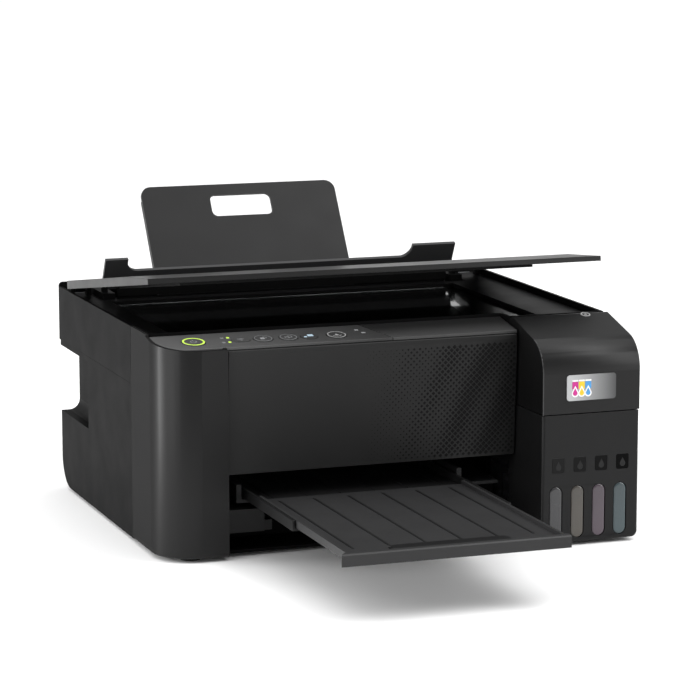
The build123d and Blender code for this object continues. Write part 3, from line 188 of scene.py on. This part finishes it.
def satin_column():
    """The front casing: matt on its flat left side, satin where the column turns to the front."""
    tone, matt, satin = (0.0065, 0.0065, 0.0066), 0.9, 0.37
    turn_start_x, turn_end_x = CASE_LEFT_X + 0.1, CASE_LEFT_X + 3.5
    finish = Finish("casing_black", tone, satin, Specular_IOR_Level=0.22)
    finish.mottle(tone)
    finish.roughness(finish.span(finish.along("X"), matt, satin, turn_start_x * MM, turn_end_x * MM))
    finish.grain(0.25)
    return finish.material


def metal(name, colour, roughness, stretch=(1, 1, 1), scale=900.0):
    """Metal with fine directional marks."""
    finish = Finish(name, colour, roughness, Metallic=1.0)
    marks = finish.noise(scale, 3.0, stretch)
    finish.roughness(finish.span(marks, roughness - 0.08, roughness + 0.12))
    finish.colour(finish.ramp(finish.noise(20.0), shade(colour, 0.85), shade(colour, 1.1)))
    finish.bump(marks, 0.15, GRAIN_DEPTH)
    return finish.material


def lamp_film(name, colour, power):
    """A glowing print, a little uneven over its width."""
    finish = Finish(name, colour, 0.35, Emission_Strength=power)
    tone = finish.noise(220.0, 2.0)
    lit = finish.ramp(tone, shade(colour, 0.82), colour)
    finish.colour(lit)
    finish.link(lit, finish.shader.inputs["Emission Color"])
    return finish.material


def printed(name, colour):
    """Satin pad-printed ink with slightly uneven cover."""
    finish = Finish(name, colour, 0.45)
    finish.colour(finish.ramp(finish.noise(400.0, 3.0), shade(colour, 0.88), shade(colour, 1.05)))
    finish.bump(finish.noise(3000.0, 2.0), 0.1, GRAIN_DEPTH / 2)
    return finish.material


def tank_plastic(name, colour):
    """Tinted, glossy tank wall, darker towards its top."""
    finish = Finish(name, colour, 0.16, Coat_Weight=0.3, Coat_Roughness=0.08)
    height = finish.span(finish.along("Z"), 0.0, 1.0, (WINDOW_LOW_Z + 1.6) * MM, (WINDOW_HIGH_Z + 4) * MM)
    finish.colour(finish.ramp(height, shade(colour, 1.12), shade(colour, 0.72), 0.1, 1.0))
    finish.roughness(finish.span(finish.noise(60.0), 0.12, 0.22))
    finish.bump(finish.noise(500.0, 2.0), 0.08, 0.05 * MM)
    return finish.material


def badge_plate():
    """Silver plate, bright at its left end and darker to the right."""
    finish = Finish("badge_silver", (0.5, 0.51, 0.53), 0.34, Metallic=0.35)
    across = finish.span(finish.along("X"), 0.0, 1.0, BADGE_LEFT_X * MM, BADGE_RIGHT_X * MM)
    finish.colour(finish.ramp(across, (0.4, 0.405, 0.41), (0.05, 0.051, 0.052), 0.1, 1.0))
    finish.roughness(finish.span(finish.noise(900.0, 2.0, (0.05, 1, 1)), 0.28, 0.4))
    return finish.material


def clear_glass():
    """Flatbed glass, see-through, with faint smears in its gloss."""
    finish = Finish("glass", (0.55, 0.58, 0.58), 0.05, Transmission_Weight=1.0, IOR=1.5,
                    Specular_IOR_Level=0.25)
    finish.roughness(finish.span(finish.noise(16.0, 4.0), 0.03, 0.09))
    return finish.material


LOW_GLOSS = {"Specular_IOR_Level": 0.22}
# panel_black, lid_black, control_grey, strip_black and button_dark carry painted light and shade: each
# tone runs lighter towards one end of its part.
finishes = {
    "case_black": moulded("case_black", (0.0075, 0.0075, 0.0077), 0.4, Specular_IOR_Level=0.18),
    "panel_black": painted_light_graded("panel_black", "X", (-130, 0.0148), (104, 0.006), 0.42, **LOW_GLOSS),
    "cover_black": moulded("cover_black", (0.0034, 0.0034, 0.0035), 0.42, 0.2, Specular_IOR_Level=0.27),
    "lid_black": painted_light_graded("lid_black", "X", (-100, 0.006), (110, 0.0175), 0.36, Specular_IOR_Level=0.25),
    "control_grey": painted_light_graded("control_grey", "X", (-170, 0.085), (-10, 0.03), 0.4, **LOW_GLOSS),
    "strip_black": painted_light_graded("strip_black", "Y", (-125, 0.047), (-100, 0.014), 0.34, **LOW_GLOSS),
    "dark_plastic": moulded("dark_plastic", (0.0125, 0.0125, 0.013), 0.5, **LOW_GLOSS),
    "button_dark": painted_light_graded("button_dark", "X", (-170, 0.072), (-10, 0.025), 0.36, **LOW_GLOSS),
    "badge_silver": badge_plate(),
    "glass": clear_glass(),
    "foam": moulded("foam", (0.008, 0.008, 0.008), 0.9, 0.8, **LOW_GLOSS),
    "rubber": moulded("rubber", (0.014, 0.014, 0.014), 0.75, 0.6, **LOW_GLOSS),
    "belt_black": moulded("belt_black", (0.012, 0.012, 0.012), 0.6, 0.6),
    "roller_grey": moulded("roller_grey", (0.12, 0.12, 0.12), 0.7, 0.6),
    "felt_white": moulded("felt_white", (0.75, 0.75, 0.72), 0.95, 1.0),
    "gear_white": moulded("gear_white", (0.7, 0.7, 0.66), 0.4, 0.1),
    "board_green": moulded("board_green", (0.02, 0.12, 0.05), 0.3, 0.1),
    "steel": metal("steel", (0.45, 0.46, 0.47), 0.42),
    "shaft_steel": metal("shaft_steel", (0.7, 0.7, 0.71), 0.16, (0.02, 1, 1)),
    "screw_steel": metal("screw_steel", (0.12, 0.12, 0.125), 0.35),
}
for ink, tint in (("black", (0.02, 0.02, 0.022)), ("yellow", (0.046, 0.04, 0.032)),
                  ("magenta", (0.052, 0.036, 0.048)), ("cyan", (0.027, 0.045, 0.051))):
    finishes["tank_" + ink] = tank_plastic("tank_" + ink, tint)
for ink, tint in (("black", (0.02, 0.02, 0.02)), ("yellow", (0.6, 0.45, 0.03)),
                  ("magenta", (0.45, 0.03, 0.2)), ("cyan", (0.02, 0.28, 0.45))):
    finishes["cap_" + ink] = moulded("cap_" + ink, tint, 0.4, 0.2)

# A darker, nearly gloss-free copy of the case's black, for the case shells and the slot lip: painted
# shade.
painted_shade_black = moulded("painted_shade_black", (0.0045, 0.0045, 0.0046), 0.5, Specular_IOR_Level=0.02)
casing_black = satin_column()
guard_black = moulded("guard_black", (0.034, 0.034, 0.035), 0.45, **LOW_GLOSS)
tray_black = moulded("tray_black", (0.0225, 0.0225, 0.023), 0.42, **LOW_GLOSS)
label_glyph = moulded("label_glyph", (0.0075, 0.0075, 0.0078), 0.4, **LOW_GLOSS)
# The scanner frame's near-black is painted shade: the shade that the lid casts over the bed.
painted_lid_shade_black = moulded("painted_lid_shade_black", (0.004, 0.004, 0.0042), 0.42, 0.2, Specular_IOR_Level=0.12)
lozenge_black = moulded("lozenge_black", (0.0034, 0.0034, 0.0035), 0.5, 0.1, Specular_IOR_Level=0.11)
# A light tone for the edge beads: a painted highlight along the front left edges of the tank cover and
# housing.
painted_edge_highlight = moulded("painted_edge_highlight", (0.032, 0.032, 0.033), 0.35, 0.1, Specular_IOR_Level=0.4)
lit_green = lamp_film("lit_green", (0.42, 0.6, 0.08), 0.75)
lit_blue = lamp_film("lit_blue", (0.33, 0.43, 0.5), 0.45)
print_grey = printed("print_grey", (0.26, 0.265, 0.27))
print_faint = printed("print_faint", (0.19, 0.193, 0.198))
print_pale = printed("print_pale", (0.3, 0.3, 0.3))
print_white = printed("print_white", (0.8, 0.8, 0.8))
mark_inks = {"magenta": printed("mark_magenta", (0.5, 0.01, 0.22)),
             "yellow": printed("mark_yellow", (0.75, 0.52, 0.02)),
             "cyan": printed("mark_cyan", (0.06, 0.28, 0.6))}

slot_of_node = {row["node"]: row["material_slot"] for row in frame["record"]["subparts"]}
for node_name, cad_object in frame["nodes"].items():
    cad_object.data.materials.clear()
    cad_object.data.materials.append(finishes[slot_of_node[node_name]])
# These parts take a finish of their own, although they share their slot with others; the darker finishes
# of the scanner frame and of the case shells are painted shade.
for node_name, material in (("scanner_frame", painted_lid_shade_black), ("lower_case", painted_shade_black),
                            ("rear_housing", painted_shade_black), ("scanner_case", painted_shade_black),
                            ("tray_front_stage", tray_black), ("front_casing", casing_black),
                            ("feeder_guard", guard_black)):
    frame["nodes"][node_name].data.materials[0] = material


# ---------------------------------------------------------------- softened case edges
# In millimetres and degrees.
EDGE_RADIUS, WELD_DISTANCE, SHARP_DEGREES = 0.45, 0.002, 40


def soften_edges(node):
    """Rounds a moulded part's sharp edges a little, so that they catch the light."""
    part = frame["nodes"][node]
    weld = part.modifiers.new("weld", "WELD")
    weld.merge_threshold = WELD_DISTANCE * MM
    bevel = part.modifiers.new("bevel", "BEVEL")
    bevel.width = EDGE_RADIUS * MM
    bevel.segments = 2
    bevel.limit_method = "ANGLE"
    bevel.angle_limit = math.radians(SHARP_DEGREES)
    bevel.harden_normals = True


for node in ("lid_cover", "tank_cover", "tank_housing", "front_casing", "front_panel", "control_panel",
             "scanner_case", "rear_housing", "lower_case", "feeder_guard", "tray_front_stage",
             "tray_rear_stage", "panel_strip"):
    soften_edges(node)


# ---------------------------------------------------------------- raised details on flat faces
# How far a raised detail starts below the face that it stands on, in millimetres.
SUNK = -0.05


class Face:
    """A flat face of the printer: an origin, the way across it and the way up it."""

    def __init__(self, origin, across, up):
        self.origin = origin
        self.across = Vector(across).normalized()
        self.up = Vector(up).normalized()
        self.out = self.across.cross(self.up)

    def point(self, u, v, lift):
        return self.origin + (self.across * u + self.up * v + self.out * lift) * MM


def raised(bm, face, outline, low, high, narrow=1.0):
    """A closed low solid over an outline of (u, v) points; narrow shrinks its top a little."""
    mid_u = sum(u for u, _ in outline) / len(outline)
    mid_v = sum(v for _, v in outline) / len(outline)
    bottom = [bm.verts.new(face.point(u, v, low)) for u, v in outline]
    top = [bm.verts.new(face.point(mid_u + (u - mid_u) * narrow, mid_v + (v - mid_v) * narrow, high))
           for u, v in outline]
    bm.faces.new(top)
    bm.faces.new(list(reversed(bottom)))
    for i in range(len(outline)):
        j = (i + 1) % len(outline)
        bm.faces.new((bottom[i], bottom[j], top[j], top[i]))


def raised_arc(bm, face, centre, radius, width, start, end, low, high):
    """A flat curved bar about a centre, from one angle to another in degrees; 360 closes it."""
    closed = end - start >= 360
    steps = max(6, int((end - start) / 7.5))
    loops = []
    for i in range(steps if closed else steps + 1):
        angle = math.radians(start + (end - start) * i / steps)
        along = (math.cos(angle), math.sin(angle))
        loops.append([bm.verts.new(face.point(centre[0] + along[0] * r, centre[1] + along[1] * r, lift))
                      for r, lift in ((radius - width / 2, low), (radius + width / 2, low),
                                      (radius + width / 2, high), (radius - width / 2, high))])
    pairs = zip(loops, loops[1:] + loops[:1]) if closed else zip(loops, loops[1:])
    for first, second in pairs:
        for k in range(4):
            m = (k + 1) % 4
            bm.faces.new((first[k], first[m], second[m], second[k]))
    if not closed:
        bm.faces.new(loops[0])
        bm.faces.new(list(reversed(loops[-1])))


def rectangle(u, v, width, height):
    w, h = width / 2, height / 2
    return [(u - w, v - h), (u + w, v - h), (u + w, v + h), (u - w, v + h)]


def rounded_rectangle(u, v, width, height, radius):
    points = []
    for cu, cv, first in ((1, -1, -90), (1, 1, 0), (-1, 1, 90), (-1, -1, 180)):
        for step in range(5):
            angle = math.radians(first + step * 22.5)
            points.append((u + cu * (width / 2 - radius) + radius * math.cos(angle),
                           v + cv * (height / 2 - radius) + radius * math.sin(angle)))
    return points


def drop(u, v, radius):
    """A plain teardrop: a round belly below and a point on top."""
    points = [(u, v + radius * 2.1)]
    for step in range(17):
        angle = math.radians(150 + step * 15)
        points.append((u + radius * math.cos(angle), v + radius * math.sin(angle)))
    return points


def stadium(u, v, half_width, half_height, shrink=0.0):
    """An upright slot outline with round ends."""
    r, flat = half_width - shrink, half_height - half_width
    points = []
    for first, centre_v in ((0, v + flat), (180, v - flat)):
        for step in range(13):
            angle = math.radians(first + step * 15)
            points.append((u + r * math.cos(angle), centre_v + r * math.sin(angle)))
    return points


def piece(name, bm, body, material, smooth=False):
    """Makes one piece of a finished bmesh, and lets it ride on a body."""
    bmesh.ops.recalc_face_normals(bm, faces=bm.faces)
    mesh = bpy.data.meshes.new(name)
    bm.to_mesh(mesh)
    bm.free()
    mesh.materials.append(material)
    if smooth:
        mesh.polygons.foreach_set("use_smooth", [True] * len(mesh.polygons))
    thing = bpy.data.objects.new(name, mesh)
    bpy.context.scene.collection.objects.link(thing)
    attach(thing, body)
    return thing


# ---------------------------------------------------------------- front panel pattern
def door_lozenges():
    """Low lozenges over the front panel: they swell in slanting bands and die away to the left."""
    pitch, band_length, band_slant = 4.8, 33.0, 0.47
    lowest_row, smallest, top_narrowing = 1.3, 0.35, 0.6
    fade_start_x, fade_end_x = -40.0, 60.0
    height = math.dist(DOOR_LOW, DOOR_HIGH)
    face = Face(at(0, *DOOR_LOW), (1, 0, 0), (0, DOOR_HIGH[0] - DOOR_LOW[0], DOOR_HIGH[1] - DOOR_LOW[1]))
    bm = bmesh.new()
    for row in range(int(height / pitch * 2) - 1):
        v = (row + lowest_row) * pitch / 2
        u = fade_start_x + (row % 2) * pitch / 2
        while u < DOOR_RIGHT_X - pitch / 2:
            fade = min(1.0, (u - fade_start_x) / (fade_end_x - fade_start_x))
            band = 0.5 + 0.5 * math.sin(2 * math.pi * (u - band_slant * v) / band_length)
            size = pitch * 0.5 * fade * (0.58 + 0.32 * band)
            if size > smallest:
                corners = [(u - size, v), (u, v - size), (u + size, v), (u, v + size)]
                raised(bm, face, corners, SUNK, 0.06 + 0.16 * fade, top_narrowing)
            u += pitch
    piece("front_panel_lozenges", bm, "base", lozenge_black)


# ---------------------------------------------------------------- control panel prints
def panel_face(x, y):
    """The sloping control panel's top face, with its origin over (x, y)."""
    rise = (PANEL_BACK[1] - PANEL_FRONT[1]) / (PANEL_BACK[0] - PANEL_FRONT[0])
    z = PANEL_FRONT[1] + rise * (y - PANEL_FRONT[0])
    return Face(at(x, y, z), (1, 0, 0), (0, 1, rise))


CAP_LIFT = 0.5
PRINT_HIGH = 0.09


def on_cap(name, part, draw, material):
    """Draws one print on a button's cap, which moves with the button."""
    bm = bmesh.new()
    draw(bm, panel_face(*BUTTONS[name]), CAP_LIFT + SUNK, CAP_LIFT + PRINT_HIGH)
    piece(name + "_" + part, bm, name, material)


def ring(radius, width):
    return lambda bm, face, low, high: raised_arc(bm, face, (0, 0), radius, width, 0, 360, low, high)


def power_glyph(bm, face, low, high):
    raised_arc(bm, face, (0, -0.3), 2.3, 0.6, 120, 420, low, high)
    raised(bm, face, rectangle(0, 1.9, 0.6, 2.6), low, high)


def wifi_glyph(bm, face, low, high):
    for radius in (1.6, 3.0, 4.4):
        raised_arc(bm, face, (0, -2.2), radius, 0.55, 50, 130, low, high)
    raised(bm, face, rectangle(0, -2.1, 0.9, 0.9), low, high)


def status_glyph(bm, face, low, high):
    raised(bm, face, rounded_rectangle(-0.6, -0.4, 3.4, 3.8, 0.5), low, high)
    raised_arc(bm, face, (1.0, 0.9), 2.0, 0.5, -30, 110, low, high)


def pages_glyph(bm, face, low, high):
    for u, v in ((-1.4, -0.8), (1.2, 0.8)):
        raised_arc(bm, face, (u, v), 0.01, 0.02, 0, 360, low, low + 0.01)
        for edge in (rectangle(u, v + 1.8, 3.0, 0.45), rectangle(u, v - 1.8, 3.0, 0.45),
                     rectangle(u - 1.5, v, 0.45, 3.6), rectangle(u + 1.5, v, 0.45, 3.6)):
            raised(bm, face, edge, low, high)


def colour_pages_glyph(bm, face, low, high):
    raised(bm, face, rounded_rectangle(1.2, 1.2, 4.6, 4.4, 0.6), low, high)
    raised(bm, face, rounded_rectangle(-3.4, -1.6, 2.4, 2.2, 0.4), low, high)


def stop_glyph(bm, face, low, high):
    raised(bm, face, [(-1.9, -1.5), (1.9, -1.5), (0, 2.0)], low, high)
    raised_arc(bm, face, (0, -0.2), 3.5, 0.4, 200, 340, low, high)


def control_prints():
    on_cap("power_button", "lit_ring", ring(8.0, 1.5), lit_green)
    on_cap("power_button", "glyph", power_glyph, print_grey)
    on_cap("wifi_button", "glyph", wifi_glyph, print_faint)
    on_cap("status_button", "ring", ring(6.7, 0.45), print_faint)
    on_cap("status_button", "glyph", status_glyph, print_grey)
    on_cap("copy_mono_button", "ring", ring(6.4, 0.45), print_faint)
    on_cap("copy_mono_button", "glyph", pages_glyph, print_faint)
    on_cap("copy_colour_button", "glyph", colour_pages_glyph, lit_blue)
    on_cap("stop_button", "ring", ring(6.9, 0.8), print_pale)
    on_cap("stop_button", "glyph", stop_glyph, print_pale)


def panel_prints():
    """The small prints on the fixed panel: two status lamps, their marks and two more at its end."""
    lamps, marks = bmesh.new(), bmesh.new()
    for x, y in ((-126.0, -101.8), (-127.5, -112.0)):
        raised(lamps, panel_face(x, y), rounded_rectangle(0, 0, 2.4, 3.0, 0.8), SUNK, 0.16, 0.9)
    for x, y in ((-130.8, -101.8), (-132.3, -112.0)):
        raised_arc(marks, panel_face(x, y), (0, -0.8), 1.8, 0.5, 40, 140, SUNK, PRINT_HIGH)
        raised(marks, panel_face(x, y), rectangle(0, -0.9, 2.2, 1.2), SUNK, PRINT_HIGH)
    for x, y in ((-21.5, -101.5), (-18.0, -108.5)):
        raised(marks, panel_face(x, y), rounded_rectangle(0, 0, 3.2, 2.4, 0.6), SUNK, PRINT_HIGH)
    piece("panel_lamps", lamps, "base", lit_green)
    piece("panel_marks", marks, "base", print_grey)


# ---------------------------------------------------------------- tank unit details
LABEL_Z, LABEL_SHIFT_X = 64.6, 1.8


def tank_face(x, z):
    return Face(at(x, TANK_FRONT_Y, z), (1, 0, 0), (0, 0, 1))


def window_lens(ink, x):
    """A domed clear window whose edge curves back into the shell."""
    half_height = (WINDOW_HIGH_Z - WINDOW_LOW_Z) / 2
    face = tank_face(x, (WINDOW_LOW_Z + WINDOW_HIGH_Z) / 2)
    bm = bmesh.new()
    rings = []
    clearance, edge_width, seat_depth, crown = 0.35, 2.2, 0.7, 0.9
    for step in range(7):
        turn = math.radians(15 * step)
        shrink = clearance + edge_width * (1 - math.cos(turn))
        lift = crown * math.sin(turn) - seat_depth
        outline = stadium(0, 0, WINDOW_HALF_WIDTH, half_height, shrink)
        rings.append([bm.verts.new(face.point(u, v, lift)) for u, v in outline])
    for inner, outer in zip(rings[1:], rings):
        for i in range(len(outer)):
            j = (i + 1) % len(outer)
            bm.faces.new((outer[i], outer[j], inner[j], inner[i]))
    bm.faces.new(rings[-1])
    bm.faces.new(list(reversed(rings[0])))
    piece("window_lens_" + ink, bm, "base", finishes["tank_" + ink], smooth=True)


def window_labels():
    """A raised square with a drop above each window, fading from right to left: the fade in the squares'
    tone and gloss is a painted reflection.
    """
    for order, (ink, x) in enumerate(TANK_CENTRES.items()):
        depth = order / 3
        # Painted reflection: one label material, made darker and less glossy step by step towards the
        # right.
        tone = shade((0.0088, 0.0088, 0.0091), 0.5 - 0.42 * depth)
        gloss = 0.4 - 0.16 * depth
        material = moulded("label_" + ink, tone, gloss, 0.15, Specular_IOR_Level=0.13 - 0.08 * depth)
        face = tank_face(x + LABEL_SHIFT_X, LABEL_Z)
        bm = bmesh.new()
        raised(bm, face, rounded_rectangle(0, 0, 10.8, 12.2, 1.6), SUNK, 0.28, 0.95)
        piece("label_square_" + ink, bm, "base", material)
        bm = bmesh.new()
        raised(bm, face, drop(0, -1.6, 2.4), 0.25, 0.46, 0.9)
        piece("label_drop_" + ink, bm, "base", label_glyph)


def badge_marks():
    """Three plain ink marks on the badge's left half: a capped block over a drop, one for each ink."""
    low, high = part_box("tank_badge")
    face = Face(Vector(((low.x + high.x) / 2, low.y, (low.z + high.z) / 2)), (1, 0, 0), (0, 0, 1))
    pale = bmesh.new()
    for ink, u in (("magenta", -13.9), ("yellow", -8.4), ("cyan", -2.9)):
        bm = bmesh.new()
        raised(bm, face, rounded_rectangle(u, 1.9, 5.0, 5.8, 0.7), SUNK, 0.16)
        raised(bm, face, drop(u, -4.2, 2.0), 0.12, 0.3, 0.95)
        piece("badge_mark_" + ink, bm, "tank_cover", mark_inks[ink])
        raised(pale, face, drop(u, -4.4, 2.9), SUNK, 0.2)
        raised(pale, face, rounded_rectangle(u, 5.6, 5.0, 1.3, 0.4), SUNK, 0.2)
    piece("badge_mark_white", pale, "tank_cover", print_white)


def tank_edge_beads():
    """A fine rounded bead along the front left edge of the tank cover and of the tank housing, in a light
    tone that paints a highlight on the edge.

    The edge is found as the outermost point of the left face at each step of an angle, which is
    measured about the face's lower rear corner.
    """
    bead_radius, sunk_x, sunk_y, sunk_z = 0.5, 0.3, 0.35, 0.3
    angle_step, side_depth = 2.5, 0.2
    for node, body, last_angle in (("tank_cover", "tank_cover", 100), ("tank_housing", "base", 112)):
        low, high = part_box(node)
        cad = frame["nodes"][node]
        outline = {}
        for vertex in cad.data.vertices:
            v = cad.matrix_world @ vertex.co
            angle = math.degrees(math.atan2(v.z - low.z, v.y - high.y))
            reach = math.hypot(v.z - low.z, v.y - high.y)
            step = round(angle / angle_step)
            if v.x < low.x + side_depth * MM and angle > last_angle and reach > outline.get(step, (0,))[0]:
                outline[step] = (reach, v)
        curve = bpy.data.curves.new(node + "_edge_bead", "CURVE")
        curve.dimensions = "3D"
        curve.bevel_depth = bead_radius * MM
        curve.bevel_resolution = 3
        spline = curve.splines.new("POLY")
        spline.points.add(len(outline) - 1)
        for point, step in zip(spline.points, sorted(outline)):
            v = outline[step][1]
            point.co = (v.x + sunk_x * MM, v.y + sunk_y * MM, v.z - sunk_z * MM, 1)
        bead = bpy.data.objects.new(node + "_edge_bead", curve)
        bpy.context.scene.collection.objects.link(bead)
        curve.materials.append(painted_edge_highlight)
        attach(bead, body)


def cover_mark():
    """The small pale ring on top of the tank cover."""
    mark_x, mark_y, below_top, slope = 167.0, -115.0, 0.25, 0.24
    place = at(mark_x, mark_y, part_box("tank_cover")[1].z / MM - below_top)
    face = Face(place, (1, 0, 0), (0, 1, slope))
    bm = bmesh.new()
    raised_arc(bm, face, (0, 0), 3.4, 0.9, 0, 360, -0.6, 0.1)
    raised(bm, face, rounded_rectangle(0, 0, 2.2, 2.2, 1.0), -0.6, 0.1)
    piece("cover_top_mark", bm, "tank_cover", print_pale)


# ---------------------------------------------------------------- tray and support details
def tray_ribs():
    """Raised runners that the pages slide out on, on both tray stages."""
    count, half_width, height = 6, 0.8, 0.35
    for stage, deck_z in (("tray_front_stage", 48.6), ("tray_rear_stage", 45.2)):
        low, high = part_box(stage)
        x0, x1 = low.x / MM + 20, high.x / MM - 16
        y0, y1 = (low.y - CASE_Y) / MM + 30, (high.y - CASE_Y) / MM - 8
        bm = bmesh.new()
        for i in range(count):
            x = x0 + (x1 - x0) * i / (count - 1)
            face = Face(at(x, 0, deck_z), (1, 0, 0), (0, 1, 0))
            runner = [(-half_width, y0), (half_width, y0), (half_width, y1), (-half_width, y1)]
            raised(bm, face, runner, -0.1, height, 0.96)
        piece(stage + "_runners", bm, stage, finishes["case_black"])


def slot_lip():
    """The low ribbed lip along the front of the paper slot, behind the scanner."""
    front_y, left_x, right_x, low_z, high_z, thickness = 124.8, -150, 144, 168, 176, 2.2
    bm = bmesh.new()
    face = Face(at(0, front_y, 0), (1, 0, 0), (0, 0, 1))
    outline = [(left_x, low_z), (right_x, low_z), (right_x, high_z), (left_x, high_z)]
    raised(bm, face, outline, -thickness, 0, 0.998)
    for i in range(15):
        raised(bm, face, rectangle(left_x + 7 + i * 20, high_z - 2, 0.8, 3.6), SUNK, 0.3)
    piece("paper_slot_lip", bm, "base", painted_shade_black)


def build_details():
    door_lozenges()
    control_prints()
    panel_prints()
    for ink, x in TANK_CENTRES.items():
        window_lens(ink, x)
    window_labels()
    badge_marks()
    tank_edge_beads()
    cover_mark()
    tray_ribs()
    slot_lip()


# ---------------------------------------------------------------- stage, light and camera
def stage_floor():
    bpy.ops.mesh.primitive_plane_add(size=80, location=(0, 0, 0))
    floor = bpy.context.object
    floor.name = "studio_floor"
    finish = Finish("studio_floor", (0.9, 0.9, 0.9), 0.8, Specular_IOR_Level=0.1)
    finish.colour(finish.ramp(finish.noise(3.0), (0.93, 0.93, 0.93), (0.95, 0.95, 0.95)))
    floor.data.materials.append(finish.material)


def area_light(name, place, target, size, power):
    data = bpy.data.lights.new(name, "AREA")
    data.shape = "RECTANGLE"
    data.size, data.size_y = size
    data.energy = power
    lamp = bpy.data.objects.new(name, data)
    lamp.location = place
    lamp.rotation_euler = (Vector(target) - Vector(place)).to_track_quat("-Z", "Y").to_euler()
    bpy.context.scene.collection.objects.link(lamp)


def studio_world():
    """A soft dome: bright overhead, dimmer low down, so that upright faces stay dark."""
    world = bpy.data.worlds.new("studio_world")
    world.use_nodes = True
    tree = world.node_tree
    where = tree.nodes.new("ShaderNodeTexCoord")
    parts = tree.nodes.new("ShaderNodeSeparateXYZ")
    ramp = tree.nodes.new("ShaderNodeValToRGB")
    tree.links.new(where.outputs["Generated"], parts.inputs["Vector"])
    tree.links.new(parts.outputs["Z"], ramp.inputs["Fac"])
    tree.links.new(ramp.outputs["Color"], tree.nodes["Background"].inputs["Color"])
    stops = ramp.color_ramp.elements
    stops[0].position, stops[1].position = 0.0, 1.0
    stops[0].color, stops[1].color = (0.5, 0.5, 0.5, 1), (1.0, 1.0, 1.0, 1)
    for position, level in ((0.2, 0.38), (0.34, 0.16), (0.66, 0.17), (0.82, 1.0)):
        stop = stops.new(position)
        stop.color = (level, level, level, 1)
    tree.nodes["Background"].inputs["Strength"].default_value = 2.0
    bpy.context.scene.world = world


def studio_light():
    studio_world()
    middle = at(0, 0, 100)
    area_light("side_softbox", middle + Vector((-2.1, 0.6, 0.3)), middle, (0.9, 1.0), 34)
    area_light("front_softbox", middle + Vector((-1.7, -0.75, 0.75)), middle, (0.9, 1.5), 14)
    area_light("top_softbox", middle + Vector((1.75, -1.25, 1.7)), middle, (0.8, 3.2), 54)


def photo_camera():
    """The camera stands front left of the printer, a little above it, with a long lens."""
    place, tilt_down, turn_right = at(-811.745, -2264.744, 551.261), 9.8273, 19.951
    data = bpy.data.cameras.new("photo_camera")
    data.lens = 154.87
    data.sensor_width = 36.0
    data.clip_start, data.clip_end = 0.1, 100.0
    camera = bpy.data.objects.new("photo_camera", data)
    camera.location = place
    camera.rotation_euler = (math.radians(90 - tilt_down), 0, math.radians(-turn_right))
    bpy.context.scene.collection.objects.link(camera)
    bpy.context.scene.camera = camera


build_details()
stage_floor()
studio_light()
photo_camera()
bpy.context.scene.view_settings.view_transform = "Standard"
